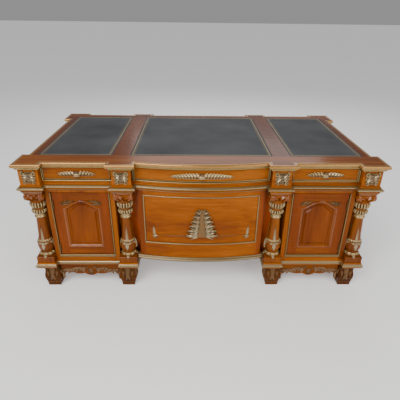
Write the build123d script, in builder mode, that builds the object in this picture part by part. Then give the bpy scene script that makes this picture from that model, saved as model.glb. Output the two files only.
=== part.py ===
from build123d import *
import os
from math import sqrt

# An executive desk with two pedestals. X runs to the right, Y runs to the back and Z up.
# The visitor's side, with the bowed centre, faces -Y. The seat side faces +Y.
# The origin is on the floor, under the middle of the desk. All lengths are millimetres.

# Overall size
DESK_WIDTH = 1920
DESK_DEPTH = 1060
DESK_HEIGHT = 790

# Levels above the floor
BASE_BOTTOM = 139
BASE_TOP = 181
PLINTH_TOP = 219
SLAB_THICKNESS = 30
FRIEZE_HEIGHT = 92
WAIST_HEIGHT = 40
ABACUS_HEIGHT = 16

SLAB_BOTTOM = DESK_HEIGHT - SLAB_THICKNESS
FRIEZE_BOTTOM = SLAB_BOTTOM - FRIEZE_HEIGHT
CASE_TOP = FRIEZE_BOTTOM - WAIST_HEIGHT
ABACUS_BOTTOM = CASE_TOP - ABACUS_HEIGHT

# Breakfront plan: a block stands over each column, with set-back faces between the blocks
TOP_OVERHANG = 25
BLOCK_WIDTH = 101
BLOCK_DEPTH = 112
COLUMN_SPACING = 469
FRONT_STEP = 35
SIDE_STEP = 38
BOW_STEP = 46
BOW_RISE = 41

FACE_X = DESK_WIDTH / 2 - TOP_OVERHANG
FACE_Y = DESK_DEPTH / 2 - TOP_OVERHANG
OUTER_AXIS = FACE_X - BLOCK_WIDTH / 2
INNER_AXIS = OUTER_AXIS - COLUMN_SPACING
AXIS_Y = FACE_Y - BLOCK_WIDTH / 2
PEDESTAL_X = (OUTER_AXIS + INNER_AXIS) / 2
RECESS_Y = FACE_Y - FRONT_STEP
SIDE_X = FACE_X - SIDE_STEP
KNEE_SIDE_X = 2 * PEDESTAL_X - SIDE_X
NOTCH_Y = FACE_Y - BLOCK_DEPTH
OUTER_NOTCH_X = OUTER_AXIS - BLOCK_WIDTH / 2
INNER_NOTCH_X = INNER_AXIS + BLOCK_WIDTH / 2
INNER_FACE_X = INNER_AXIS - BLOCK_WIDTH / 2
BOW_END_Y = FACE_Y - BOW_STEP
BOW_RADIUS = (INNER_FACE_X ** 2 + BOW_RISE ** 2) / (2 * BOW_RISE)
BOW_CENTRE_Y = BOW_RADIUS - BOW_END_Y - BOW_RISE

# Boards and clearances
BOARD = 18
BOTTOM_BOARD = 6
RUNNING_GAP = 0.3
REVEAL = 1.5

# Top edge moulding, measured outwards from the frieze
NOSING_BACK = 5
NOSING_ROUND = 10
NOSING_LIP = 6
NOSING_FOOT = 5
NOSING_FOOT_REACH = 9
NOSING_COVE_SHARES = (0.3, 0.6)

# Waist moulding under the frieze
WAIST_REACH = 19
WAIST_LIP = 4
WAIST_OGEE_HEIGHT = 19
WAIST_LIP_HEIGHT = 7
WAIST_COVE_REACH = 2
WAIST_INSET = 15
WAIST_FILLET_REACH = 3
WAIST_OGEE_SHARE = 0.4
WAIST_COVE_SHARES = (0.45, 0.7)

WAIST_LIP_TOP = FRIEZE_BOTTOM - WAIST_OGEE_HEIGHT
WAIST_BOTTOM_LIP = WAIST_LIP_TOP - WAIST_LIP_HEIGHT

# Base moulding
BASE_TOP_REACH = 1
BASE_REACH = 10
BASE_TIP_RISE = 14
BASE_TIP_HEIGHT = 9
BASE_NECK_INSET = 10
BASE_CORE_INSET = 12

BASE_TIP_BOTTOM = BASE_BOTTOM + BASE_TIP_RISE
BASE_TIP_TOP = BASE_TIP_BOTTOM + BASE_TIP_HEIGHT

# Leather inlays
LEATHER_THICKNESS = 2
LEATHER_GAP = 0.2
LEATHER_SIDE_MARGIN = 68
LEATHER_SIDE_WIDTH = 390
LEATHER_BORDER = 95
LEATHER_FRONT_MARGIN = 120
LEATHER_BACK_MARGIN = 81

LEATHER_OUTER_X = FACE_X - LEATHER_SIDE_MARGIN
LEATHER_INNER_X = LEATHER_OUTER_X - LEATHER_SIDE_WIDTH
LEATHER_CENTRE_HALF = LEATHER_INNER_X - LEATHER_BORDER
LEATHER_FRONT_Y = FACE_Y - LEATHER_FRONT_MARGIN
LEATHER_BACK_Y = FACE_Y - LEATHER_BACK_MARGIN

# Turned column between its square plinth and its abacus
PLINTH_HALF = 50
ABACUS_HALF = 50
COLUMN_RADIUS = 45
SCROLL_WIDTH = 18
SCROLL_ROOT = 28
SCROLL_TOP_REACH = 55
SCROLL_REACH = 62
SCROLL_FOOT_REACH = 46
SCROLL_MIDDLE_DROP = 20
SCROLL_DROP = 38

TURNED_HEIGHT = ABACUS_BOTTOM - PLINTH_TOP
SCROLL_MIDDLE_Z = ABACUS_BOTTOM - SCROLL_MIDDLE_DROP
SCROLL_BOTTOM = ABACUS_BOTTOM - SCROLL_DROP

# Stations of the turning as shares of COLUMN_RADIUS and TURNED_HEIGHT, from the plinth up.
# A station of four values is an arc: the point that it bulges through, then its end.
TURNING_SHARES = [
    (0.94, 0.0), (0.94, 0.045), (0.755, 0.066), (0.935, 0.165, 0.735, 0.282),
    (0.555, 0.62), (0.91, 0.72), (0.71, 0.765), (1.0, 0.82), (0.84, 0.865), (0.84, 1.0),
]

# Feet, set in from the column axes
FOOT_INSET = 14
FOOT_TOP_HALF = 42
FOOT_NECK_HALF = 40
FOOT_BELLY_HALF = 46
FOOT_ANKLE_HALF = 34
FOOT_SOLE_HALF = 32
FOOT_NECK_Z = 108
FOOT_BELLY_Z = 72
FOOT_ANKLE_Z = 20

# Scalloped aprons between the feet: shares of the half length and of BASE_BOTTOM
APRON_THICKNESS = 16
APRON_SETBACK = 8
PENDANT_EDGE_SHARES = (0.21, 0.554)
PENDANT_TIP_SHARE = 0.446
LOBE_SHARES = (0.41, 0.525)
CREST_START_SHARES = (0.64, 0.61)
CREST_END_SHARES = (0.80, 0.62)
KNEE_SHARES = (0.89, 0.52)
SHIN_SHARES = (0.92, 0.30)
TOE_SHARE = 0.21

# Door opening and doors
POST_WIDTH = 24
BEAD_WIDTH = 8
BEAD_PROUD = 8
BEAD_DEPTH = 26
DOOR_THICKNESS = 22
DOOR_HINGE_GAP = 2.5
DOOR_TOP_GAP = 2
SILL_BEAD_HEIGHT = 15
STILE_WIDTH = 52
FOOT_RAIL_HEIGHT = 52
ARCH_SHOULDER_DROP = 92
ARCH_PEAK_DROP = 47
FLANK_SHARES = (0.72, 0.36)
CROWN_SHARES = (0.45, 0.80)
PANEL_BACK_INSET = 2
PANEL_THICKNESS = 12
MOULD_WIDTH = 15
MOULD_PROUD = 6
MOULD_CHAMFER = 4
FIELD_INSET = 25
FIELD_RISE = 6
FIELD_CHAMFER = 5
SPRAY_LENGTH = 60
SPRAY_HEIGHT = 26
SPRAY_THICKNESS = 6
SPRAY_OFFSET_X = 80
SPRAY_DROP = 56

FOOT_RAIL_TOP = PLINTH_TOP + FOOT_RAIL_HEIGHT
ARCH_SHOULDER_Z = ABACUS_BOTTOM - ARCH_SHOULDER_DROP
ARCH_PEAK_Z = ABACUS_BOTTOM - ARCH_PEAK_DROP
SPRAY_Z = ABACUS_BOTTOM - SPRAY_DROP

# Fielded panels on the sides, between the corner blocks
SIDE_PANEL_GAP = 42
SIDE_PANEL_RISE = 17
SIDE_PANEL_DROP = 28

SIDE_PANEL_SPACING = NOTCH_Y - SIDE_PANEL_GAP / 2
SIDE_PANEL_WIDTH = SIDE_PANEL_SPACING - SIDE_PANEL_GAP
SIDE_PANEL_BOTTOM = PLINTH_TOP + SIDE_PANEL_RISE
SIDE_PANEL_TOP = ABACUS_BOTTOM - SIDE_PANEL_DROP

# Door hinges
HINGE_LENGTH = 50
HINGE_LEAF = 1
HINGE_LEAF_DEPTH = 18
HINGE_RADIUS = 3.5
PIN_RADIUS = 2
HINGE_PROUD = 4
LOWER_HINGE_RISE = 51
UPPER_HINGE_DROP = 72

LOWER_HINGE_Z = PLINTH_TOP + LOWER_HINGE_RISE
UPPER_HINGE_Z = ABACUS_BOTTOM - UPPER_HINGE_DROP

# Shelf in each cupboard
SHELF_DROP = 202
SHELF_GAP = 1
SHELF_FRONT_GAP = 30
SHELF_PEG_SIZE = 6
SHELF_PEG_REACH = 10
SHELF_PEG_INSET = 60

SHELF_TOP = ABACUS_BOTTOM - SHELF_DROP

# Drawers
DRAWER_FRONT = 20
DRAWER_SIDE = 12
DRAWER_BACK_GAP = 20
FRIEZE_DRAWER_GAP = 1
FRIEZE_RAIL_THICKNESS = 8
FRIEZE_BOX_DROP = 9
DUST_BOARD = 12
BOX_SIDE_INSET = 13
BOX_BOTTOM_RAISE = 8
BOX_TOP_DROP = 20
UPPER_DRAWER_HEIGHT = 198
GUIDE_HEIGHT = 20
TRIM_WIDTH = 11
TRIM_PROUD = 8
TRIM_CHAMFER = 4

FRIEZE_DRAWER_TOP = SLAB_BOTTOM - FRIEZE_RAIL_THICKNESS - FRIEZE_DRAWER_GAP
FRIEZE_BOX_TOP = FRIEZE_DRAWER_TOP - FRIEZE_BOX_DROP
DRAWER_SPLIT_Z = ABACUS_BOTTOM - UPPER_DRAWER_HEIGHT

# Carved pulls and rosettes
PULL_LENGTH = 200
PULL_HEIGHT = 34
CENTRE_PULL_LENGTH = 330
CENTRE_PULL_HEIGHT = 40
PULL_PLATE = 5
CUP_LENGTH = 44
CUP_RADIUS = 15
CUP_WALL = 2.5
CUP_DROP = 8
ROSETTE_WIDTH = 70
ROSETTE_HEIGHT = 62
ROSETTE_PROUD = 7
ROSETTE_CHAMFER = 4

# Modesty panel between the pedestals
MODESTY_END_INSET = 20
MODESTY_SETBACK = 4
MODESTY_THICKNESS = 20
SILL_BOTTOM = 191
SILL_HEIGHT = 22
SILL_PROUD = 14
MODESTY_STILE_WIDTH = 32
MODESTY_FOOT_RAIL = 89
MODESTY_HEAD_RAIL = 33
PANEL_RECESS = 4
MODESTY_PANEL_THICKNESS = 10
MODESTY_BEAD_WIDTH = 10
MODESTY_BEAD_PROUD = 5
PLUME_RISE = 53
PLUME_DROP = 68
PLUME_FOOT_HALF = 100
PLUME_HEAD_HALF = 28
PLUME_WAIST_SHARES = (0.20, 0.40)
PLUME_PROUD = 8

MODESTY_HALF = INNER_FACE_X - MODESTY_END_INSET
MODESTY_BOTTOM = SILL_BOTTOM + SILL_HEIGHT
PANEL_HALF = MODESTY_HALF - MODESTY_STILE_WIDTH
PANEL_BOTTOM = MODESTY_BOTTOM + MODESTY_FOOT_RAIL
PANEL_TOP = CASE_TOP - MODESTY_HEAD_RAIL
PLUME_BOTTOM = PANEL_BOTTOM + PLUME_RISE
PLUME_TOP = PANEL_TOP - PLUME_DROP

# Overrun of a cutting solid past the faces that it cuts
CUT_OVERRUN = 5

os.makedirs("parts", exist_ok=True)


def board(x_limits, y_limits, z_limits):
    """One straight board between its lowest and highest limits."""
    x_low, x_high = sorted(x_limits)
    y_low, y_high = sorted(y_limits)
    z_low, z_high = sorted(z_limits)
    with BuildPart() as piece:
        with BuildSketch(Plane.XY.offset(z_low)):
            with Locations(((x_low + x_high) / 2, (y_low + y_high) / 2)):
                Rectangle(x_high - x_low, y_high - y_low)
        extrude(amount=z_high - z_low)
    return piece.part


def write_node(name, pieces):
    """Write one node: a single solid, or a group of separate solids."""
    node = pieces[0] if len(pieces) == 1 else Compound(children=pieces)
    node.label = name
    export_step(node, f"parts/{name}.step")


def bow_y(x, grow):
    """How far the bowed centre stands in front of X, grow outside the frieze."""
    return sqrt((BOW_RADIUS + grow) ** 2 - x ** 2) - BOW_CENTRE_Y


def draw_desk_outline(grow):
    """Closed breakfront outline of the whole desk, grow outside the frieze."""
    inner, outer = INNER_FACE_X - grow, FACE_X + grow
    near, far = INNER_NOTCH_X + grow, OUTER_NOTCH_X - grow
    block, recess = FACE_Y + grow, RECESS_Y + grow
    notch, side = NOTCH_Y - grow, SIDE_X + grow
    bow_end = (inner, -bow_y(inner, grow))
    right = [
        bow_end, (inner, -block), (near, -block), (near, -recess), (far, -recess), (far, -block),
        (outer, -block), (outer, -notch), (side, -notch), (side, notch), (outer, notch),
        (outer, block), (far, block), (far, recess), (near, recess), (near, block),
        (inner, block), (inner, recess),
    ]
    left = [(-x, y) for x, y in reversed(right)]
    Polyline(*right, *left)
    ThreePointArc(left[-1], (0, -bow_y(0, grow)), bow_end)


def draw_pedestal_outline(centre, grow):
    """Closed outline of one pedestal with its four corner blocks, grow outside the faces."""
    far = OUTER_NOTCH_X - PEDESTAL_X - grow
    outer = FACE_X - PEDESTAL_X + grow
    side = SIDE_X - PEDESTAL_X + grow
    block, recess, notch = FACE_Y + grow, RECESS_Y + grow, NOTCH_Y - grow
    right = [
        (far, -recess), (far, -block), (outer, -block), (outer, -notch), (side, -notch),
        (side, notch), (outer, notch), (outer, block), (far, block), (far, recess),
    ]
    left = [(-x, y) for x, y in reversed(right)]
    Polyline(*[(centre + x, y) for x, y in right + left], close=True)


def section_plane(x):
    """Plane of a moulding's section at the straight back of a path: outwards is +Y."""
    return Plane(origin=(x, RECESS_Y, 0), x_dir=(0, 1, 0), z_dir=(1, 0, 0))


def make_top_slab():
    """Solid top board with three shallow beds for the leather."""
    with BuildPart() as top_slab:
        with BuildSketch(Plane.XY.offset(SLAB_BOTTOM)):
            with BuildLine():
                draw_desk_outline(NOSING_BACK)
            make_face()
        extrude(amount=SLAB_THICKNESS)
        with BuildSketch(Plane.XY.offset(DESK_HEIGHT - LEATHER_THICKNESS)):
            for low, high in leather_limits():
                with Locations(((low + high) / 2, (LEATHER_BACK_Y - LEATHER_FRONT_Y) / 2)):
                    Rectangle(high - low, LEATHER_BACK_Y + LEATHER_FRONT_Y)
        extrude(amount=LEATHER_THICKNESS, mode=Mode.SUBTRACT)
    write_node("top_slab", [top_slab.part])


def leather_limits():
    """Lowest and highest X of the left, centre and right leather beds."""
    return [
        (-LEATHER_OUTER_X, -LEATHER_INNER_X),
        (-LEATHER_CENTRE_HALF, LEATHER_CENTRE_HALF),
        (LEATHER_INNER_X, LEATHER_OUTER_X),
    ]


def make_leathers():
    """Leather inlays that lie flush in their beds."""
    bed_z = (DESK_HEIGHT - LEATHER_THICKNESS, DESK_HEIGHT)
    bed_y = (-LEATHER_FRONT_Y + LEATHER_GAP, LEATHER_BACK_Y - LEATHER_GAP)
    for place, (low, high) in zip(("left", "centre", "right"), leather_limits()):
        inlay = board((low + LEATHER_GAP, high - LEATHER_GAP), bed_y, bed_z)
        write_node(f"leather_{place}", [inlay])


def make_top_edge_moulding():
    """Gilt nosing round the top: a round over a lip, then a cove back to the frieze."""
    tip_top = DESK_HEIGHT - NOSING_ROUND
    lip_bottom = tip_top - NOSING_LIP
    foot = SLAB_BOTTOM - NOSING_FOOT
    round_start = TOP_OVERHANG - NOSING_ROUND
    turn = NOSING_ROUND / sqrt(2)
    cove_middle = (NOSING_FOOT_REACH + (TOP_OVERHANG - NOSING_FOOT_REACH) * NOSING_COVE_SHARES[0],
                   foot + (lip_bottom - foot) * NOSING_COVE_SHARES[1])
    with BuildPart() as moulding:
        with BuildLine(Plane.XY.offset(SLAB_BOTTOM)) as path:
            draw_desk_outline(0)
        with BuildSketch(section_plane(0)):
            with BuildLine():
                Line((NOSING_BACK, DESK_HEIGHT), (round_start, DESK_HEIGHT))
                ThreePointArc((round_start, DESK_HEIGHT), (round_start + turn, tip_top + turn),
                              (TOP_OVERHANG, tip_top))
                Line((TOP_OVERHANG, tip_top), (TOP_OVERHANG, lip_bottom))
                ThreePointArc((TOP_OVERHANG, lip_bottom), cove_middle, (NOSING_FOOT_REACH, foot))
                Polyline((NOSING_FOOT_REACH, foot), (0, foot), (0, SLAB_BOTTOM),
                         (NOSING_BACK, SLAB_BOTTOM), (NOSING_BACK, DESK_HEIGHT))
            make_face()
        sweep(path=path.wire(), transition=Transition.RIGHT)
    write_node("top_edge_moulding", [moulding.part])


def make_waist_moulding():
    """Gilt ogee under the frieze, with a plain cove below it."""
    ogee_bottom = (WAIST_REACH, WAIST_LIP_TOP)
    ogee_middle = (WAIST_REACH * WAIST_OGEE_SHARE, (FRIEZE_BOTTOM + WAIST_LIP_TOP) / 2 - WAIST_COVE_REACH)
    lip_bottom = WAIST_LIP_TOP - WAIST_LIP
    cove_top = (WAIST_REACH - WAIST_LIP, WAIST_BOTTOM_LIP)
    cove_middle = (WAIST_REACH * WAIST_COVE_SHARES[0],
                   CASE_TOP + (WAIST_BOTTOM_LIP - CASE_TOP) * WAIST_COVE_SHARES[1])
    with BuildPart() as moulding:
        with BuildLine(Plane.XY.offset(CASE_TOP)) as path:
            draw_desk_outline(0)
        with BuildSketch(section_plane(0)):
            with BuildLine():
                Line((-WAIST_INSET, FRIEZE_BOTTOM), (WAIST_FILLET_REACH, FRIEZE_BOTTOM))
                ThreePointArc((WAIST_FILLET_REACH, FRIEZE_BOTTOM), ogee_middle, ogee_bottom)
                Polyline(ogee_bottom, (WAIST_REACH, lip_bottom), cove_top)
                ThreePointArc(cove_top, cove_middle, (WAIST_COVE_REACH, CASE_TOP))
                Polyline((WAIST_COVE_REACH, CASE_TOP), (-WAIST_INSET, CASE_TOP),
                         (-WAIST_INSET, FRIEZE_BOTTOM))
            make_face()
        sweep(path=path.wire(), transition=Transition.RIGHT)
    write_node("waist_moulding", [moulding.part])


def bow_slab(half, front_grow, back_grow, z_limits):
    """A bowed board between two arcs about the centre of the bow."""
    front_half = [(x, -bow_y(x, front_grow)) for x in (half, 0, -half)]
    back_half = [(x, -bow_y(x, back_grow)) for x in (-half, 0, half)]
    with BuildPart() as piece:
        with BuildSketch(Plane.XY.offset(z_limits[0])):
            with BuildLine():
                ThreePointArc(*front_half)
                Line(front_half[-1], back_half[0])
                ThreePointArc(*back_half)
                Line(back_half[-1], front_half[0])
            make_face()
        extrude(amount=z_limits[1] - z_limits[0])
    return piece.part


def make_frieze():
    """Boards that carry the drawers under the top, and the solid blocks over the columns."""
    rail_z = (SLAB_BOTTOM - FRIEZE_RAIL_THICKNESS, SLAB_BOTTOM)
    dust_z = (FRIEZE_BOTTOM, FRIEZE_BOTTOM + DUST_BOARD)
    wall_z = (dust_z[1], SLAB_BOTTOM)
    boards = [board((-SIDE_X, SIDE_X), (-NOTCH_Y, NOTCH_Y), dust_z)]
    blocks = []
    divider = (INNER_AXIS - BOARD / 2, INNER_AXIS + BOARD / 2)
    for side in (-1, 1):
        outside = (side * (SIDE_X - BOARD), side * SIDE_X)
        boards.append(board(outside, (-NOTCH_Y, NOTCH_Y), wall_z))
        boards.append(board((side * divider[0], side * divider[1]), (-NOTCH_Y, NOTCH_Y), wall_z))
        boards.append(board((side * divider[1], side * (SIDE_X - BOARD)), (-BOARD / 2, BOARD / 2), wall_z))
        bay = (side * INNER_NOTCH_X, side * OUTER_NOTCH_X)
        for end in (-1, 1):
            edge = (end * NOTCH_Y, end * RECESS_Y)
            boards.append(board(bay, edge, dust_z))
            boards.append(board(bay, edge, rail_z))
            for axis in (OUTER_AXIS, INNER_AXIS):
                block_x = (side * (axis - BLOCK_WIDTH / 2), side * (axis + BLOCK_WIDTH / 2))
                block_y = (end * NOTCH_Y, end * FACE_Y)
                blocks.append(board(block_x, block_y, (FRIEZE_BOTTOM, SLAB_BOTTOM)))
    boards.append(board((-divider[0], divider[0]), (-BOARD / 2, BOARD / 2), wall_z))
    boards.append(board((-INNER_FACE_X, INNER_FACE_X), (NOTCH_Y, RECESS_Y), dust_z))
    boards.append(board((-INNER_FACE_X, INNER_FACE_X), (NOTCH_Y, RECESS_Y), rail_z))
    for bow_z in (dust_z, rail_z):
        boards.append(bow_rail(bow_z))
    write_node("frieze_frame", boards)
    write_node("frieze_blocks", blocks)


def bow_rail(z_limits):
    """Rail whose front edge follows the bow and whose back edge meets the dust board."""
    end = (INNER_FACE_X, -bow_y(INNER_FACE_X, 0))
    with BuildPart() as piece:
        with BuildSketch(Plane.XY.offset(z_limits[0])):
            with BuildLine():
                ThreePointArc((-end[0], end[1]), (0, -bow_y(0, 0)), end)
                Polyline(end, (end[0], -NOTCH_Y), (-end[0], -NOTCH_Y), (-end[0], end[1]))
            make_face()
        extrude(amount=z_limits[1] - z_limits[0])
    return piece.part


def make_rosettes():
    """Square carved bosses on the outward faces of the blocks."""
    with BuildPart() as boss:
        with BuildSketch(Plane.XZ):
            Rectangle(ROSETTE_WIDTH, ROSETTE_HEIGHT)
        extrude(amount=ROSETTE_PROUD)
        chamfer(boss.faces().sort_by(Axis.Y)[0].edges(), ROSETTE_CHAMFER)
    middle_z = (FRIEZE_BOTTOM + SLAB_BOTTOM - NOSING_FOOT) / 2
    bosses = []
    for x in (-OUTER_AXIS, -INNER_AXIS, INNER_AXIS, OUTER_AXIS):
        bosses.append(boss.part.moved(Location((x, -FACE_Y, middle_z))))
        bosses.append(boss.part.moved(Location((x, FACE_Y, middle_z), (0, 0, 180))))
    middle_y = (FACE_Y + NOTCH_Y) / 2
    for y in (-middle_y, middle_y):
        bosses.append(boss.part.moved(Location((-FACE_X, y, middle_z), (0, 0, -90))))
        bosses.append(boss.part.moved(Location((FACE_X, y, middle_z), (0, 0, 90))))
    write_node("block_rosettes", bosses)


def make_column():
    """One turned column: square plinth, rings, bulb, tapering shaft, bowl and Ionic scrolls."""
    with BuildPart() as column:
        with BuildSketch(Plane.XZ):
            with BuildLine():
                here = None
                for shares in TURNING_SHARES:
                    points = [(COLUMN_RADIUS * r, PLINTH_TOP + TURNED_HEIGHT * z)
                              for r, z in zip(shares[0::2], shares[1::2])]
                    if here and len(points) == 2:
                        ThreePointArc(here, points[0], points[1])
                    elif here:
                        Line(here, points[0])
                    here = points[-1]
                start = COLUMN_RADIUS * TURNING_SHARES[0][0]
                Polyline(here, (0, ABACUS_BOTTOM), (0, PLINTH_TOP), (start, PLINTH_TOP))
            make_face()
        revolve(axis=Axis.Z)
        for turn in (-1, 1):
            with BuildSketch(Plane(origin=(0, 0, 0), x_dir=(1, turn, 0), z_dir=(turn, -1, 0))):
                with BuildLine():
                    for hand in (-1, 1):
                        Polyline((0, ABACUS_BOTTOM), (hand * SCROLL_TOP_REACH, ABACUS_BOTTOM),
                                 (hand * SCROLL_REACH, SCROLL_MIDDLE_Z),
                                 (hand * SCROLL_FOOT_REACH, SCROLL_BOTTOM),
                                 (hand * SCROLL_ROOT, SCROLL_MIDDLE_Z), (0, SCROLL_MIDDLE_Z))
                make_face()
            extrude(amount=SCROLL_WIDTH / 2, both=True)
        with BuildSketch(Plane.XY.offset(ABACUS_BOTTOM)):
            Rectangle(2 * ABACUS_HALF, 2 * ABACUS_HALF)
        extrude(amount=CASE_TOP - ABACUS_BOTTOM)
        with BuildSketch(Plane.XY.offset(BASE_TOP)):
            Rectangle(2 * PLINTH_HALF, 2 * PLINTH_HALF)
        extrude(amount=PLINTH_TOP - BASE_TOP)
    return column.part


def make_columns():
    """Eight columns, one under each block of the frieze."""
    column = make_column()
    placed = [column.moved(Location((side * axis, end * AXIS_Y, 0)))
              for side in (-1, 1) for axis in (OUTER_AXIS, INNER_AXIS) for end in (-1, 1)]
    write_node("columns", placed)


def make_base(name, side):
    """Plinth board of one pedestal, with its moulding worked on the edge."""
    centre = side * PEDESTAL_X
    with BuildPart() as base:
        with BuildSketch(Plane.XY.offset(BASE_BOTTOM)):
            with BuildLine():
                draw_pedestal_outline(centre, -BASE_NECK_INSET)
            make_face()
        extrude(amount=BASE_TOP - BASE_BOTTOM)
        with BuildLine(Plane.XY.offset(BASE_BOTTOM)) as path:
            draw_pedestal_outline(centre, 0)
        with BuildSketch(section_plane(centre)):
            with BuildLine():
                Polyline((-BASE_CORE_INSET, BASE_BOTTOM), (-BASE_NECK_INSET, BASE_BOTTOM),
                         (BASE_REACH, BASE_TIP_BOTTOM), (BASE_REACH, BASE_TIP_TOP),
                         (BASE_TOP_REACH, BASE_TOP), (-BASE_CORE_INSET, BASE_TOP), close=True)
            make_face()
        sweep(path=path.wire(), transition=Transition.RIGHT)
    write_node(f"{name}_base_moulding", [base.part])


def make_foot():
    """Ogee bracket foot, the same on all four sides."""
    profiles = []
    for plane in (Plane.XZ, Plane.YZ):
        with BuildPart() as profile:
            with BuildSketch(plane):
                with BuildLine():
                    for side in (-1, 1):
                        neck = (side * FOOT_NECK_HALF, FOOT_NECK_Z)
                        belly = (side * FOOT_BELLY_HALF, FOOT_BELLY_Z)
                        ankle = (side * FOOT_ANKLE_HALF, FOOT_ANKLE_Z)
                        Line((side * FOOT_TOP_HALF, BASE_BOTTOM), neck)
                        ThreePointArc(neck, belly, ankle)
                        Line(ankle, (side * FOOT_SOLE_HALF, 0))
                    Line((-FOOT_TOP_HALF, BASE_BOTTOM), (FOOT_TOP_HALF, BASE_BOTTOM))
                    Line((-FOOT_SOLE_HALF, 0), (FOOT_SOLE_HALF, 0))
                make_face()
            extrude(amount=2 * FOOT_BELLY_HALF, both=True)
        profiles.append(profile.part)
    with BuildPart() as foot:
        add(profiles[0])
        add(profiles[1], mode=Mode.INTERSECT)
    return foot.part


def make_feet():
    """Four feet under each pedestal."""
    foot = make_foot()
    for name, side in (("left", -1), ("right", 1)):
        placed = []
        for x in (OUTER_AXIS - FOOT_INSET, INNER_AXIS + FOOT_INSET):
            for end in (-1, 1):
                placed.append(foot.moved(Location((side * x, end * (AXIS_Y - FOOT_INSET), 0))))
        write_node(f"{name}_feet", placed)


def make_apron(half):
    """Scalloped apron of the given half length, upright on the XZ plane."""
    def at(shares):
        return (half * shares[0], BASE_BOTTOM * shares[1])

    def opposite(shares):
        return (-half * shares[0], BASE_BOTTOM * shares[1])

    with BuildPart() as apron:
        with BuildSketch(Plane.XZ):
            with BuildLine():
                for place in (at, opposite):
                    ThreePointArc(place(PENDANT_EDGE_SHARES), place(LOBE_SHARES), place(CREST_START_SHARES))
                    Line(place(CREST_START_SHARES), place(CREST_END_SHARES))
                    ThreePointArc(place(CREST_END_SHARES), place(KNEE_SHARES), place(SHIN_SHARES))
                    Polyline(place(SHIN_SHARES), place((1, TOE_SHARE)), place((1, 1)))
                ThreePointArc(opposite(PENDANT_EDGE_SHARES), (0, BASE_BOTTOM * PENDANT_TIP_SHARE),
                              at(PENDANT_EDGE_SHARES))
                Line(opposite((1, 1)), at((1, 1)))
            make_face()
        extrude(amount=APRON_THICKNESS)
    return apron.part


def make_aprons():
    """Aprons on the four sides of each pedestal, between its feet."""
    foot_reach = FOOT_INSET + FOOT_BELLY_HALF + RUNNING_GAP
    front_apron = make_apron(COLUMN_SPACING / 2 - foot_reach)
    side_apron = make_apron(AXIS_Y - foot_reach)
    front_back = RECESS_Y - APRON_SETBACK - APRON_THICKNESS
    for name, side in (("left", -1), ("right", 1)):
        centre = side * PEDESTAL_X
        outer_back = SIDE_X - APRON_SETBACK - APRON_THICKNESS - PEDESTAL_X
        placed = [
            front_apron.moved(Location((centre, -front_back, 0))),
            front_apron.moved(Location((centre, front_back, 0), (0, 0, 180))),
            side_apron.moved(Location((centre + outer_back, 0, 0), (0, 0, 90))),
            side_apron.moved(Location((centre - outer_back, 0, 0), (0, 0, -90))),
        ]
        write_node(f"{name}_aprons", placed)


def make_pedestal_case(name, side):
    """Carcass boards of one pedestal: cupboard in front, drawers behind, notched corners."""
    def across(low, high):
        return (side * (PEDESTAL_X + low), side * (PEDESTAL_X + high))

    side_half = SIDE_X - PEDESTAL_X
    post_half = OUTER_NOTCH_X - PEDESTAL_X
    inside_half = side_half - BOARD
    opening_half = post_half - POST_WIDTH
    floor_top = BASE_TOP + BOARD
    roof_bottom = CASE_TOP - BOARD
    between_corners = (BOARD - NOTCH_Y, NOTCH_Y - BOARD)
    boards = [
        board(across(side_half - BOARD, side_half), (-NOTCH_Y, NOTCH_Y), (BASE_TOP, CASE_TOP)),
        board(across(-side_half, BOARD - side_half), (-NOTCH_Y, NOTCH_Y), (BASE_TOP, CASE_TOP)),
        board(across(-inside_half, inside_half), between_corners, (BASE_TOP, floor_top)),
        board(across(-inside_half, inside_half), between_corners, (roof_bottom, CASE_TOP)),
        board(across(-inside_half, inside_half), (-BOARD / 2, BOARD / 2), (floor_top, roof_bottom)),
        board(across(-opening_half, opening_half), (BOARD - RECESS_Y, BOARD - NOTCH_Y),
              (BASE_TOP, floor_top)),
    ]
    for end in (-1, 1):
        for hand in (-1, 1):
            post = across(hand * opening_half, hand * post_half)
            boards.append(board(post, (end * NOTCH_Y, end * RECESS_Y), (BASE_TOP, CASE_TOP)))
            corner = across(hand * opening_half, hand * inside_half)
            boards.append(board(corner, (end * (NOTCH_Y - BOARD), end * NOTCH_Y), (BASE_TOP, CASE_TOP)))
        boards.append(board(across(-opening_half, opening_half), (end * (NOTCH_Y - BOARD), end * RECESS_Y),
                            (ABACUS_BOTTOM, CASE_TOP)))
    for y in (-NOTCH_Y / 2, NOTCH_Y / 2):
        batten = (y - 2 * BOARD, y + 2 * BOARD)
        boards.append(board(across(-inside_half, inside_half), batten, (CASE_TOP, FRIEZE_BOTTOM)))
    write_node(f"{name}_pedestal_case", boards)


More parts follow.
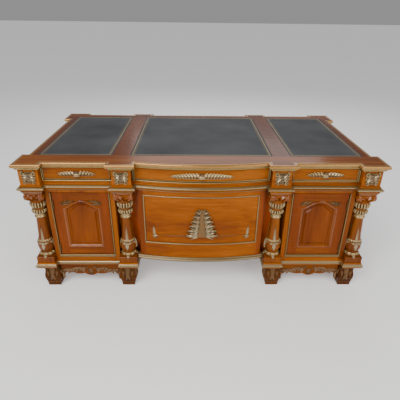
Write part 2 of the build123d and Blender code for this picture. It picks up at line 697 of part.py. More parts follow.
def make_side_panels():
    """Two fielded panels, each in a raised moulding, on the outward side of each pedestal."""
    height = SIDE_PANEL_TOP - SIDE_PANEL_BOTTOM
    with BuildPart() as moulding:
        with BuildSketch(Plane.YZ):
            Rectangle(SIDE_PANEL_WIDTH, height)
            Rectangle(SIDE_PANEL_WIDTH - 2 * MOULD_WIDTH, height - 2 * MOULD_WIDTH, mode=Mode.SUBTRACT)
        extrude(amount=MOULD_PROUD)
        chamfer(moulding.faces().sort_by(Axis.X)[-1].edges(), MOULD_CHAMFER)
    with BuildPart() as field:
        with BuildSketch(Plane.YZ):
            Rectangle(SIDE_PANEL_WIDTH - 2 * FIELD_INSET, height - 2 * FIELD_INSET)
        extrude(amount=FIELD_RISE)
        chamfer(field.faces().sort_by(Axis.X)[-1].edges(), FIELD_CHAMFER)
    middle_z = (SIDE_PANEL_TOP + SIDE_PANEL_BOTTOM) / 2
    placed = []
    for y in (-SIDE_PANEL_SPACING / 2, SIDE_PANEL_SPACING / 2):
        for piece in (moulding.part, field.part):
            placed.append(piece.moved(Location((SIDE_X, y, middle_z))))
            placed.append(piece.moved(Location((-SIDE_X, y, middle_z), (0, 0, 180))))
    write_node("side_panels", placed)


def make_door_surrounds():
    """Plain rail and gilt beads round each cupboard opening."""
    opening_half = OUTER_NOTCH_X - PEDESTAL_X - POST_WIDTH
    bead_y = (-RECESS_Y - BEAD_PROUD, -RECESS_Y - BEAD_PROUD + BEAD_DEPTH)
    sill_bottom = PLINTH_TOP - SILL_BEAD_HEIGHT
    pieces = []
    for centre in (-PEDESTAL_X, PEDESTAL_X):
        for hand in (-1, 1):
            edge = (centre + hand * opening_half, centre + hand * (opening_half - BEAD_WIDTH))
            pieces.append(bead_strip(edge, bead_y, (PLINTH_TOP, ABACUS_BOTTOM)))
        full = (centre - opening_half, centre + opening_half)
        pieces.append(bead_strip(full, bead_y, (sill_bottom, PLINTH_TOP)))
        pieces.append(board(full, (-RECESS_Y, -RECESS_Y + BOARD), (BASE_TOP, sill_bottom)))
    write_node("door_surrounds", pieces)


def bead_strip(x_limits, y_limits, z_limits):
    """A bead with its two long front edges eased."""
    strip = board(x_limits, y_limits, z_limits)
    upright = z_limits[1] - z_limits[0] > abs(x_limits[1] - x_limits[0])
    with BuildPart() as bead:
        add(strip)
        front = bead.faces().sort_by(Axis.Y)[0]
        chamfer(front.edges().filter_by(Axis.Z if upright else Axis.X), BEAD_WIDTH / 3)
    return bead.part


def draw_arch(centre, half, bottom, shoulder, peak):
    """Outline of an arched panel: square foot, shoulders and a serpentine crown."""
    rise = peak - shoulder
    crown_z = shoulder + rise * CROWN_SHARES[1]
    flank_z = shoulder + rise * FLANK_SHARES[1]
    left, right = centre - half, centre + half
    Polyline((left, shoulder), (left, bottom), (right, bottom), (right, shoulder))
    for hand in (-1, 1):
        ThreePointArc((centre + hand * half, shoulder), (centre + hand * half * FLANK_SHARES[0], flank_z),
                      (centre + hand * half * CROWN_SHARES[0], crown_z))
    ThreePointArc((centre - half * CROWN_SHARES[0], crown_z), (centre, peak),
                  (centre + half * CROWN_SHARES[0], crown_z))


def arched_plate(centre, insets, back, thickness):
    """Plate in the shape of the arched panel; insets are from the frame, at its back and its front."""
    with BuildPart() as plate:
        for inset, offset in zip(insets, (back, back + thickness)):
            half = door_half() - STILE_WIDTH - inset
            with BuildSketch(Plane.XZ.offset(offset)):
                with BuildLine():
                    draw_arch(centre, half, FOOT_RAIL_TOP + inset, ARCH_SHOULDER_Z - inset,
                              ARCH_PEAK_Z - inset)
                make_face()
        loft(ruled=True)
    return plate.part


def door_half():
    """Half the width of a door between its beads."""
    return OUTER_NOTCH_X - PEDESTAL_X - POST_WIDTH - BEAD_WIDTH - DOOR_HINGE_GAP


def make_door(name, side):
    """Framed cupboard door with a raised, arched panel."""
    centre = side * PEDESTAL_X
    half = door_half()
    opening = half - STILE_WIDTH
    bottom = PLINTH_TOP + DOOR_TOP_GAP
    top = ABACUS_BOTTOM - DOOR_TOP_GAP
    leaf_y = (-RECESS_Y, -RECESS_Y + DOOR_THICKNESS)
    stiles = [board((centre + hand * opening, centre + hand * half), leaf_y, (bottom, top))
              for hand in (-1, 1)]
    foot_rail = board((centre - opening, centre + opening), leaf_y, (bottom, FOOT_RAIL_TOP))
    with BuildPart() as head_rail:
        add(board((centre - opening, centre + opening), leaf_y, (ARCH_SHOULDER_Z, top)))
        add(arched_plate(centre, (0, 0), RECESS_Y - DOOR_THICKNESS - CUT_OVERRUN,
                         DOOR_THICKNESS + 2 * CUT_OVERRUN), mode=Mode.SUBTRACT)
    write_node(f"{name}_door_frame", stiles + [foot_rail, head_rail.part])

    panel_back = RECESS_Y - DOOR_THICKNESS + PANEL_BACK_INSET
    with BuildPart() as panel:
        add(arched_plate(centre, (0, 0), panel_back, PANEL_THICKNESS))
        add(arched_plate(centre, (FIELD_INSET, FIELD_INSET + FIELD_CHAMFER),
                         panel_back + PANEL_THICKNESS, FIELD_RISE))
    write_node(f"{name}_door_panel", [panel.part])

    mould_back = panel_back + PANEL_THICKNESS
    mould_depth = RECESS_Y + MOULD_PROUD - mould_back
    with BuildPart() as mould:
        add(arched_plate(centre, (0, MOULD_CHAMFER), mould_back, mould_depth))
        add(arched_plate(centre, (MOULD_WIDTH, MOULD_WIDTH - MOULD_CHAMFER), mould_back, mould_depth),
            mode=Mode.SUBTRACT)
    sprays = [leaf_plate(centre + hand * SPRAY_OFFSET_X, SPRAY_Z, SPRAY_LENGTH, SPRAY_HEIGHT,
                         SPRAY_THICKNESS) for hand in (-1, 1)]
    write_node(f"{name}_door_mouldings", [mould.part] + sprays)


def leaf_plate(x, z, length, height, thickness):
    """Carved plate whose outline is two arcs, lying on the recessed front face."""
    with BuildPart() as plate:
        with BuildSketch(Plane.XZ.offset(RECESS_Y)):
            with BuildLine():
                ThreePointArc((x - length / 2, z), (x, z + height / 2), (x + length / 2, z))
                ThreePointArc((x - length / 2, z), (x, z - height / 2), (x + length / 2, z))
            make_face()
        extrude(amount=thickness)
    return plate.part


def hinge_axis():
    """Distance of the hinge pins from the desk's middle, and their distance in front."""
    bead_face = PEDESTAL_X + door_half() + DOOR_HINGE_GAP
    return bead_face - HINGE_RADIUS - RUNNING_GAP, RECESS_Y + HINGE_PROUD


def make_hinges():
    """Lift-off hinges: pins and upper knuckles on the doors, bored knuckles on the posts."""
    pin_x, pin_y = hinge_axis()
    edge_x = PEDESTAL_X + door_half()
    standing = (Align.CENTER, Align.CENTER, Align.MIN)
    hanging = (Align.CENTER, Align.CENTER, Align.MAX)
    fixed = []
    for name, side in (("left", -1), ("right", 1)):
        moving = []
        for z in (LOWER_HINGE_Z, UPPER_HINGE_Z):
            leaf_y = (-pin_y, -RECESS_Y + HINGE_LEAF_DEPTH)
            with BuildPart() as door_leaf:
                with Locations((side * pin_x, -pin_y, z)):
                    Cylinder(HINGE_RADIUS, HINGE_LENGTH / 2, align=standing)
                    Cylinder(PIN_RADIUS, HINGE_LENGTH / 2, align=hanging)
                add(board((side * edge_x, side * (edge_x + HINGE_LEAF)), leaf_y, (z, z + HINGE_LENGTH / 2)))
            moving.append(door_leaf.part)
            post_x = edge_x + DOOR_HINGE_GAP
            fixed_z = (z - HINGE_LENGTH / 2, z - RUNNING_GAP)
            with BuildPart() as post_leaf:
                with Locations((side * pin_x, -pin_y, fixed_z[1])):
                    Cylinder(HINGE_RADIUS, fixed_z[1] - fixed_z[0], align=hanging)
                add(board((side * post_x, side * (post_x - HINGE_LEAF)), leaf_y, fixed_z))
                with Locations((side * pin_x, -pin_y, fixed_z[1] + CUT_OVERRUN)):
                    Cylinder(PIN_RADIUS + RUNNING_GAP, HINGE_LENGTH, align=hanging, mode=Mode.SUBTRACT)
            fixed.append(post_leaf.part)
        write_node(f"{name}_door_hinges", moving)
    write_node("hinge_plates", fixed)


def make_shelves():
    """Loose shelf in each cupboard, on four square pegs in the side boards."""
    inside_half = SIDE_X - PEDESTAL_X - BOARD
    shelf_front = -NOTCH_Y + SHELF_FRONT_GAP
    shelf_back = -BOARD / 2 - SHELF_GAP
    peg_z = (SHELF_TOP - BOARD - SHELF_PEG_SIZE, SHELF_TOP - BOARD)
    pegs = []
    for name, side in (("left", -1), ("right", 1)):
        centre = side * PEDESTAL_X
        width = inside_half - SHELF_GAP
        shelf_x = (centre - width, centre + width)
        shelf = board(shelf_x, (shelf_front, shelf_back), (SHELF_TOP - BOARD, SHELF_TOP))
        write_node(f"{name}_shelf", [shelf])
        for hand in (-1, 1):
            peg_x = (centre + hand * (inside_half - SHELF_PEG_REACH), centre + hand * inside_half)
            for y in (shelf_front + SHELF_PEG_INSET, shelf_back - SHELF_PEG_INSET):
                pegs.append(board(peg_x, (y - SHELF_PEG_SIZE / 2, y + SHELF_PEG_SIZE / 2), peg_z))
    write_node("shelf_pegs", pegs)


def drawer_boards(centre, half, y_limits, z_limits, box_top, front_piece):
    """Sides, back and bottom of a drawer behind its front; y_limits run from front to back."""
    front_y, back_y = y_limits
    inward = 1 if back_y > front_y else -1
    box_half = half - BOX_SIDE_INSET
    bottom_z = z_limits[0] + BOX_BOTTOM_RAISE
    side_y = (front_y, back_y - inward * DRAWER_SIDE)
    pieces = [front_piece]
    for hand in (-1, 1):
        wall = (centre + hand * (box_half - DRAWER_SIDE), centre + hand * box_half)
        pieces.append(board(wall, side_y, (z_limits[0], box_top)))
    back_x = (centre - box_half, centre + box_half)
    pieces.append(board(back_x, (side_y[1], back_y), (z_limits[0], box_top)))
    floor_x = (centre - box_half + DRAWER_SIDE, centre + box_half - DRAWER_SIDE)
    pieces.append(board(floor_x, side_y, (bottom_z, bottom_z + BOTTOM_BOARD)))
    return pieces


def trim_frame(centre, half, z_limits):
    """Gilt bead round a drawer front: left, right and bottom members in one frame."""
    height = z_limits[1] - z_limits[0]
    with BuildPart() as trim:
        with BuildSketch(Plane.XZ.offset(RECESS_Y)):
            with Locations((centre, (z_limits[0] + z_limits[1]) / 2)):
                Rectangle(2 * half, height)
            with Locations((centre, z_limits[1])):
                Rectangle(2 * (half - TRIM_WIDTH), 2 * (height - TRIM_WIDTH), mode=Mode.SUBTRACT)
        extrude(amount=TRIM_PROUD)
        chamfer(trim.faces().sort_by(Axis.Y)[0].edges(), TRIM_CHAMFER)
    return trim.part


def finger_cup(x, z, front):
    """Shell-shaped finger pull, open below, standing on a face at the given distance in front."""
    inner = CUP_RADIUS - CUP_WALL
    turn, inner_turn = CUP_RADIUS / sqrt(2), inner / sqrt(2)
    lip_z = z - CUP_DROP
    with BuildPart() as cup:
        with BuildSketch(Plane.YZ.offset(x - CUP_LENGTH / 2)):
            with BuildLine():
                ThreePointArc((-front, z + CUP_RADIUS), (-front - turn, z + turn), (-front - CUP_RADIUS, z))
                Polyline((-front - CUP_RADIUS, z), (-front - CUP_RADIUS, lip_z), (-front - inner, lip_z),
                         (-front - inner, z))
                ThreePointArc((-front - inner, z), (-front - inner_turn, z + inner_turn),
                              (-front, z + inner))
                Line((-front, z + inner), (-front, z + CUP_RADIUS))
            make_face()
        extrude(amount=CUP_LENGTH)
    return cup.part


def make_frieze_drawers():
    """Three shallow drawers on each long side; the visitor's middle one has a bowed front."""
    bottom = FRIEZE_BOTTOM + DUST_BOARD + RUNNING_GAP
    top = FRIEZE_DRAWER_TOP
    middle_z = (bottom + TRIM_WIDTH + top) / 2
    side_half = (OUTER_NOTCH_X - INNER_NOTCH_X) / 2 - REVEAL
    centre_half = INNER_FACE_X - REVEAL
    back_y = -BOARD / 2 - DRAWER_BACK_GAP
    for place, centre, half in (("left", -PEDESTAL_X, side_half), ("centre", 0, centre_half),
                                ("right", PEDESTAL_X, side_half)):
        bays = (centre - half, centre + half)
        flat_front = board(bays, (-RECESS_Y, -RECESS_Y + DRAWER_FRONT), (bottom, top))
        flat_drawer = drawer_boards(centre, half, (-RECESS_Y + DRAWER_FRONT, back_y), (bottom, top),
                                    FRIEZE_BOX_TOP, flat_front)
        flat_trim = [trim_frame(centre, half, (bottom, top))]
        plate_size = (PULL_LENGTH, PULL_HEIGHT)
        if place == "centre":
            plate_size = (CENTRE_PULL_LENGTH, CENTRE_PULL_HEIGHT)
        flat_pull = [leaf_plate(centre, middle_z, *plate_size, PULL_PLATE),
                     finger_cup(centre, middle_z, RECESS_Y + PULL_PLATE)]
        rear = [mirror(piece, about=Plane.XZ) for piece in flat_drawer]
        rear_trim = [mirror(piece, about=Plane.XZ) for piece in flat_trim + flat_pull]
        write_node(f"rear_{place}_drawer", rear)
        write_node(f"rear_{place}_drawer_trim", rear_trim)
        if place == "centre":
            bow_front = bow_slab(half, 0, -DRAWER_FRONT, (bottom, top))
            box_front = -bow_y(half, -DRAWER_FRONT)
            flat_drawer = drawer_boards(centre, half, (box_front, back_y), (bottom, top),
                                        FRIEZE_BOX_TOP, bow_front)
            flat_trim = [bow_trim(half, (bottom, top))]
            flat_pull = bow_pull(middle_z)
        write_node(f"front_{place}_drawer", flat_drawer)
        write_node(f"front_{place}_drawer_bead", flat_trim)
        write_node(f"front_{place}_drawer_pull", flat_pull)


def bow_trim(half, z_limits):
    """Gilt bead on the bowed drawer front."""
    height = z_limits[1] - z_limits[0]
    with BuildPart() as trim:
        add(bow_slab(half, TRIM_PROUD, 0, z_limits))
        with BuildSketch(Plane.XZ):
            with Locations((0, z_limits[1])):
                Rectangle(2 * (half - TRIM_WIDTH), 2 * (height - TRIM_WIDTH))
        extrude(amount=DESK_DEPTH, mode=Mode.SUBTRACT)
    return trim.part


def bow_pull(z):
    """Long carved spray on the bowed front, with its finger cup."""
    half_length = CENTRE_PULL_LENGTH / 2
    with BuildPart() as plate:
        add(bow_slab(half_length + CUT_OVERRUN, PULL_PLATE, 0,
                     (z - CENTRE_PULL_HEIGHT, z + CENTRE_PULL_HEIGHT)))
        with BuildSketch(Plane.XZ):
            with BuildLine():
                ThreePointArc((-half_length, z), (0, z + CENTRE_PULL_HEIGHT / 2), (half_length, z))
                ThreePointArc((-half_length, z), (0, z - CENTRE_PULL_HEIGHT / 2), (half_length, z))
            make_face()
        extrude(amount=DESK_DEPTH, mode=Mode.INTERSECT)
    return [plate.part, finger_cup(0, z, bow_y(0, PULL_PLATE))]


def make_pedestal_drawers(name, side):
    """Upper drawer and deep file drawer on the seat side of one pedestal."""
    centre = side * PEDESTAL_X
    half = OUTER_NOTCH_X - PEDESTAL_X - POST_WIDTH - REVEAL
    back_y = -BOARD / 2 - DRAWER_BACK_GAP
    levels = (
        ("lower", BASE_TOP + BOARD + RUNNING_GAP, DRAWER_SPLIT_Z - DUST_BOARD - REVEAL),
        ("upper", DRAWER_SPLIT_Z + RUNNING_GAP, ABACUS_BOTTOM - REVEAL),
    )
    for level, bottom, top in levels:
        face_y = (-RECESS_Y, -RECESS_Y + DRAWER_FRONT)
        front = board((centre - half, centre + half), face_y, (bottom, top))
        boards = drawer_boards(centre, half, (face_y[1], back_y), (bottom, top), top - BOX_TOP_DROP, front)
        middle_z = (bottom + TRIM_WIDTH + top) / 2
        trim = [trim_frame(centre, half, (bottom, top)),
                leaf_plate(centre, middle_z, PULL_LENGTH, PULL_HEIGHT, PULL_PLATE),
                finger_cup(centre, middle_z, RECESS_Y + PULL_PLATE)]
        write_node(f"{name}_{level}_drawer", [mirror(piece, about=Plane.XZ) for piece in boards])
        write_node(f"{name}_{level}_drawer_trim", [mirror(piece, about=Plane.XZ) for piece in trim])


def make_runners():
    """Dust boards under the upper pedestal drawers, and guide strips beside every drawer box."""
    inside_half = SIDE_X - PEDESTAL_X - BOARD
    opening_half = OUTER_NOTCH_X - PEDESTAL_X - POST_WIDTH
    back = NOTCH_Y - BOARD
    frieze_floor = FRIEZE_BOTTOM + DUST_BOARD
    boards = []
    for side in (-1, 1):
        centre = side * PEDESTAL_X
        dust_z = (DRAWER_SPLIT_Z - DUST_BOARD, DRAWER_SPLIT_Z)
        opening = (centre - opening_half, centre + opening_half)
        boards.append(board((centre - inside_half, centre + inside_half), (BOARD / 2, back), dust_z))
        boards.append(board(opening, (back, RECESS_Y), dust_z))
        boards.append(board(opening, (back, RECESS_Y), (BASE_TOP, BASE_TOP + BOARD)))
        drawer_half = opening_half - REVEAL
        for low in (BASE_TOP + BOARD, DRAWER_SPLIT_Z):
            boards += guide_pair(centre, drawer_half, (BOARD / 2, back), low)
        frieze_half = (OUTER_NOTCH_X - INNER_NOTCH_X) / 2 - REVEAL
        for end in (-1, 1):
            boards += guide_pair(centre, frieze_half, (end * BOARD / 2, end * NOTCH_Y), frieze_floor)
    for end in (-1, 1):
        boards += guide_pair(0, INNER_FACE_X - REVEAL, (end * BOARD / 2, end * NOTCH_Y), frieze_floor)
    write_node("drawer_runners", boards)


def guide_pair(centre, drawer_half, y_limits, bottom):
    """Guide strips on both sides of a drawer box."""
    inner = drawer_half - BOX_SIDE_INSET + RUNNING_GAP
    outer = drawer_half + REVEAL
    return [board((centre + hand * inner, centre + hand * outer), y_limits, (bottom, bottom + GUIDE_HEIGHT))
            for hand in (-1, 1)]


def make_modesty():
    """Bowed panel between the pedestals: frame, panel, gilt bead, sill and carved plume."""
    face = -MODESTY_SETBACK
    with BuildPart() as frame:
        add(bow_slab(MODESTY_HALF, face, face - MODESTY_THICKNESS, (MODESTY_BOTTOM, CASE_TOP)))
        with BuildSketch(Plane.XZ):
            with Locations((0, (PANEL_BOTTOM + PANEL_TOP) / 2)):
                Rectangle(2 * PANEL_HALF, PANEL_TOP - PANEL_BOTTOM)
        extrude(amount=DESK_DEPTH, mode=Mode.SUBTRACT)
    frame_back = -bow_y(MODESTY_HALF, face - MODESTY_THICKNESS)
    pieces = [frame.part]
    for side in (-1, 1):
        stile = (side * (MODESTY_HALF - BOARD), side * MODESTY_HALF)
        pieces.append(board(stile, (frame_back + BOARD / 2, -NOTCH_Y), (SILL_BOTTOM, CASE_TOP)))
        cheek = (side * (MODESTY_HALF - BOARD), side * KNEE_SIDE_X)
        pieces.append(board(cheek, (-NOTCH_Y, -NOTCH_Y + BOARD), (SILL_BOTTOM, CASE_TOP)))
    write_node("modesty_frame", pieces)

    panel_face = face - PANEL_RECESS
    panel = bow_slab(PANEL_HALF, panel_face, panel_face - MODESTY_PANEL_THICKNESS,
                     (PANEL_BOTTOM, PANEL_TOP))
    write_node("modesty_panel", [panel])

    bead_half = PANEL_HALF + MODESTY_BEAD_WIDTH / 2
    with BuildPart() as bead:
        add(bow_slab(bead_half, face + MODESTY_BEAD_PROUD, face,
                     (PANEL_BOTTOM - MODESTY_BEAD_WIDTH / 2, PANEL_TOP + MODESTY_BEAD_WIDTH / 2)))
        with BuildSketch(Plane.XZ):
            with Locations((0, (PANEL_BOTTOM + PANEL_TOP) / 2)):
                Rectangle(2 * (bead_half - MODESTY_BEAD_WIDTH),
                          PANEL_TOP - PANEL_BOTTOM - MODESTY_BEAD_WIDTH)
        extrude(amount=DESK_DEPTH, mode=Mode.SUBTRACT)
    sill = bow_slab(MODESTY_HALF, face + SILL_PROUD, face - MODESTY_THICKNESS,
                    (SILL_BOTTOM, MODESTY_BOTTOM))
    with BuildPart() as eased_sill:
        add(sill)
        upper_edge = eased_sill.faces().sort_by(Axis.Z)[-1].edges().sort_by(Axis.Y)[0]
        chamfer(upper_edge, SILL_PROUD - MODESTY_BEAD_PROUD)
    write_node("modesty_mouldings", [bead.part, eased_sill.part])

    height = PLUME_TOP - PLUME_BOTTOM
    waist = (PLUME_FOOT_HALF * PLUME_WAIST_SHARES[0], PLUME_BOTTOM + height * PLUME_WAIST_SHARES[1])
    with BuildPart() as plume:
        add(bow_slab(PLUME_FOOT_HALF, panel_face + PLUME_PROUD, panel_face, (PLUME_BOTTOM, PLUME_TOP)))
        with BuildSketch(Plane.XZ):
            with BuildLine():
                for hand in (-1, 1):
                    Bezier((hand * PLUME_FOOT_HALF, PLUME_BOTTOM), (hand * waist[0], waist[1]),
                           (hand * PLUME_HEAD_HALF, PLUME_TOP))
                Line((-PLUME_FOOT_HALF, PLUME_BOTTOM), (PLUME_FOOT_HALF, PLUME_BOTTOM))
                Line((-PLUME_HEAD_HALF, PLUME_TOP), (PLUME_HEAD_HALF, PLUME_TOP))
            make_face()
        extrude(amount=DESK_DEPTH, mode=Mode.INTERSECT)
    write_node("modesty_carving", [plume.part])


make_top_slab()
make_leathers()
make_top_edge_moulding()
make_frieze()
make_rosettes()
make_waist_moulding()
make_columns()
make_feet()
make_aprons()
make_side_panels()
make_door_surrounds()
make_hinges()
make_shelves()
make_runners()
make_frieze_drawers()
make_modesty()
for pedestal, hand_sign in (("left", -1), ("right", 1)):
    make_base(pedestal, hand_sign)
    make_pedestal_case(pedestal, hand_sign)
    make_door(pedestal, hand_sign)
    make_pedestal_drawers(pedestal, hand_sign)
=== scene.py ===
from math import atan2, copysign, cos, pi, radians, sin, sqrt, tau

import bmesh
import bpy
from bpy.props import FloatProperty, FloatVectorProperty, IntProperty, PointerProperty
from mathutils import Matrix, Vector


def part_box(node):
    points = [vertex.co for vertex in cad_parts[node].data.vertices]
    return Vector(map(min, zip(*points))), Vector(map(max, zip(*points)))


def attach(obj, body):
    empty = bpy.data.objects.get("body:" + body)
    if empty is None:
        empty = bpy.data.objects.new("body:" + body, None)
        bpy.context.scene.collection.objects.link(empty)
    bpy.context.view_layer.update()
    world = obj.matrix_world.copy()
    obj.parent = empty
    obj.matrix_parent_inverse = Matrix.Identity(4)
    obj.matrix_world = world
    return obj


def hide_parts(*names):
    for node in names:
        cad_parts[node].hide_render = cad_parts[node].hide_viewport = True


bl_info = {
    "name": "Executive desk",
    "version": (1, 0, 0),
    "blender": (4, 5, 0),
    "location": "View3D > Sidebar > Desk",
    "description": "Dresses the packed executive desk: carving, gilding, polished wood and leather",
    "category": "Object",
}

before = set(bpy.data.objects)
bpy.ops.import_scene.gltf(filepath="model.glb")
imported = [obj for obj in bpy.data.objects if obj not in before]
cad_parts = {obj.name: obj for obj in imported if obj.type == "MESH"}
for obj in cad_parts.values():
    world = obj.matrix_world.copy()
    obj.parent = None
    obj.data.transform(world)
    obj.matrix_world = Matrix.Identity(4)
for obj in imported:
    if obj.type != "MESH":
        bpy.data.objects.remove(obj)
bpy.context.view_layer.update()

# Pieces are modelled in millimetres, and finish_piece makes them metres. Shaders and the stage use metres.
MM = 0.001

# Faces that turn by more degrees than this keep a crease between them
CREASE = 38


def box(node):
    """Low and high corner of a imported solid, in millimetres."""
    return [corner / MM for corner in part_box(node)]


# Levels and faces of the desk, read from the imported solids
BLOCKS = box("frieze_blocks")
FACE_X, FACE_Y = BLOCKS[1].x, BLOCKS[1].y
FRIEZE_BOTTOM, SLAB_BOTTOM = BLOCKS[0].z, BLOCKS[1].z
TOP = box("top_edge_moulding")[1].z
CASE_TOP = box("waist_moulding")[0].z
BASE_BOTTOM, BASE_TOP = (corner.z for corner in box("left_base_moulding"))
SIDE_X = box("frieze_frame")[1].x
RECESS_Y = box("rear_left_drawer")[1].y
SURROUND_TOP = box("door_surrounds")[1].z
MODESTY_LOW, MODESTY_HIGH = box("modesty_panel")

# Breakfront plan
NOTCH_Y = 393
BLOCK_WIDTH = 101
COLUMN_SPACING = 469
BOW_STEP = 46
BOW_RISE = 41
OUTER_AXIS = FACE_X - BLOCK_WIDTH / 2
INNER_AXIS = OUTER_AXIS - COLUMN_SPACING
AXIS_Y = FACE_Y - BLOCK_WIDTH / 2
PEDESTAL_X = (OUTER_AXIS + INNER_AXIS) / 2
OUTER_NOTCH_X = OUTER_AXIS - BLOCK_WIDTH / 2
INNER_NOTCH_X = INNER_AXIS + BLOCK_WIDTH / 2
INNER_FACE_X = INNER_AXIS - BLOCK_WIDTH / 2
BOW_END_Y = FACE_Y - BOW_STEP
BOW_RADIUS = (INNER_FACE_X ** 2 + BOW_RISE ** 2) / (2 * BOW_RISE)
BOW_CENTRE_Y = BOW_RADIUS - BOW_END_Y - BOW_RISE
SIDES = (("left", -1), ("right", 1))

# Columns and feet; a profile is a row of (out, up) pairs
COLUMN_HALF = 50
PLINTH_TOP = 219
ABACUS_BOTTOM = 611
COLUMN_PROFILE = (
    (0, 210), (43, 218), (43.5, 221), (38, 225), (34, 243), (34, 248), (37, 253), (41.5, 261), (44, 271),
    (44.8, 283), (44, 294), (41.5, 303), (38, 310), (35.5, 317), (35.5, 324), (34, 331), (32.2, 345),
    (30.6, 362), (29.2, 387), (27.4, 415), (25.6, 445), (24.6, 458), (24.5, 480), (30, 510), (30, 540),
    (36, 556), (40.5, 560), (41.5, 564), (40.5, 568.5), (37, 571), (35, 576), (38, 583), (42.5, 592),
    (44.5, 601), (44, 608), (42, 611), (0, 611.5))
VOLUTE = (
    (0, -12.5), (4, -14), (6.5, -12.5), (8, -10.5), (10, -12), (13, -13.5), (16, -12.5), (18, -9), (18.6, -5),
    (16.5, -1.2), (16.5, 1.2), (18.6, 5), (18, 9), (16, 12.5), (13, 13.5), (10, 12), (8, 10.5), (6.5, 12.5),
    (4, 14), (0, 12.5))
RING_REACH = 45
FOOT_INSET = 46
FOOT_CORE = -34
ANKLE = 36
KNEEHOLE_X = INNER_AXIS - 41
FOOT_OGEE = (
    (6, 139), (5, 128), (3, 118), (4, 106), (7.5, 92), (9.4, 76), (8.6, 60), (5.8, 44), (2.8, 30), (1.2, 20),
    (0.5, 13))

# Doors, drawers and the panel of the kneehole
ARCH_HALF, ARCH_FOOT, ARCH_SHOULDER, ARCH_PEAK = 97.5, 271, 520, 565
OPENING_HALF = 160
SILL_Z = 204
BOWED_FRONT_Y = 459
LIP = 21
PULL_RISE = 11
WIDE_DRAWER = 500
MODESTY_SETBACK = 4
PLUME_X = 5
PLUME_FOOT, PLUME_HEAD = 358, 508
SPRIG_X, SPRIG_Z = 266, 344

# Limits of the wood's tones, in metres: boards between the leathers, and the painted shade and light on the
# stiles and cheeks of the kneehole
FIELD_MIDDLE_Y, FIELD_HALF = 0.02, 0.404
CROSS_PIECE_NEAR, CROSS_PIECE_FAR, END_PIECE = 0.382, 0.477, 0.867
STILE_SHADE_START, STILE_SHADE_END, CHEEK = 0.318, 0.346, 0.3452

# Photograph, camera and lights, in pixels, metres and degrees
PHOTO_PIXELS, FOCAL_PIXELS, SENSOR = 400, 377.0, 36.0
CAMERA_PLACE = (-0.045, -2.289, 1.478)
PITCH, YAW, ROLL = 26.53, 1.18, 0.73
LIGHTS_AIM = (0, 0, 0.45)
FLOOR_HALF = 60

# Name, place, size, power and colour of each light
LIGHTS = (
    ("key", (-1.6, -3.2, 3.6), 2.4, 170, (1.0, 0.98, 0.95)),
    ("fill", (2.6, -3.4, 2.2), 3.0, 80, (1.0, 0.98, 0.96)),
    ("back", (0.4, 3.2, 3.4), 3.4, 70, (0.96, 0.98, 1.0)),
)


def count_of(name, description, default, low, high):
    return IntProperty(name=name, description=description, default=default, min=low, max=high)


def length_of(name, description, default, low, high):
    return FloatProperty(name=name, description=description, default=default, min=low, max=high,
                         unit="LENGTH")


def colour_of(name, description, default):
    return FloatVectorProperty(name=name, description=description, default=default, subtype="COLOR", size=3,
                               min=0, max=1)


class DeskSizes(bpy.types.PropertyGroup):
    ring_lobes: count_of("Ring lobes", "Carved lobes round each gilt ring of a column", 16, 6, 24)
    shaft_leaves: count_of("Shaft leaves", "Gilt leaves that rise round each column's shaft", 3, 2, 10)
    leaf_thickness: length_of("Leaf thickness", "Thickness of the carved leaves", 0.0022, 0.001, 0.006)
    pull_leaflets: count_of("Pull leaflets", "Leaflets on each half of a side drawer's pull", 5, 3, 14)
    centre_leaflets: count_of("Centre pull leaflets", "Leaflets on each half of the long pull", 9, 5, 20)
    plume_leaflets: count_of("Plume leaflets", "Leaf clusters on each side of the plume", 6, 4, 12)
    tooling_inset: length_of("Tooling inset", "Distance of the gilt line from the edge", 0.012, 0.004, 0.05)
    tooling_width: length_of("Tooling width", "Width of the tooled gilt line", 0.0045, 0.001, 0.01)


class DeskFinishes(bpy.types.PropertyGroup):
    wood_light: colour_of("Wood, light", "Light figure of the polished wood", (0.390, 0.105, 0.0005))
    wood_dark: colour_of("Wood, dark", "Dark figure of the polished wood", (0.140, 0.027, 0.0004))
    gilt_light: colour_of("Gilt, light", "Worn high places of the gilding", (0.43, 0.30, 0.125))
    # Painted shade: the gilding's recesses darken to this colour, partly a brown wash and partly shade
    gilt_wash_and_shade: colour_of("Gilt, dark", "Brown wash in the gilding's recesses", (0.030, 0.012, 0.002))
    leather: colour_of("Leather", "Colour of the writing leather", (0.050, 0.052, 0.056))
    lining: colour_of("Lining wood", "Drawer sides, shelves and runners", (0.42, 0.25, 0.12))


def sizes():
    return bpy.context.scene.desk_sizes


def finishes():
    return bpy.context.scene.desk_finishes


class Value:
    """A shader socket that takes part in arithmetic."""

    def __init__(self, shader, socket):
        self.shader, self.socket = shader, socket

    def math(self, operation, *values):
        return self.shader.node("ShaderNodeMath", {"operation": operation}, values)

    def __add__(self, other):
        return self.math("ADD", self, other)

    def __sub__(self, other):
        return self.math("SUBTRACT", self, other)

    def __rsub__(self, other):
        return self.math("SUBTRACT", other, self)

    def __mul__(self, other):
        return self.math("MULTIPLY", self, other)

    def __gt__(self, other):
        return self.math("GREATER_THAN", self, other)

    def __lt__(self, other):
        return self.math("LESS_THAN", self, other)

    def __abs__(self):
        return self.math("ABSOLUTE", self)

    __radd__ = __add__
    __rmul__ = __mul__

    def least(self, other):
        return self.math("MINIMUM", self, other)

    def most(self, other):
        return self.math("MAXIMUM", self, other)

    def between(self, low, high):
        """A clamped rise from 0 at low to 1 at high."""
        return self.shader.node("ShaderNodeMapRange", {}, {"Value": self, "From Min": low, "From Max": high})


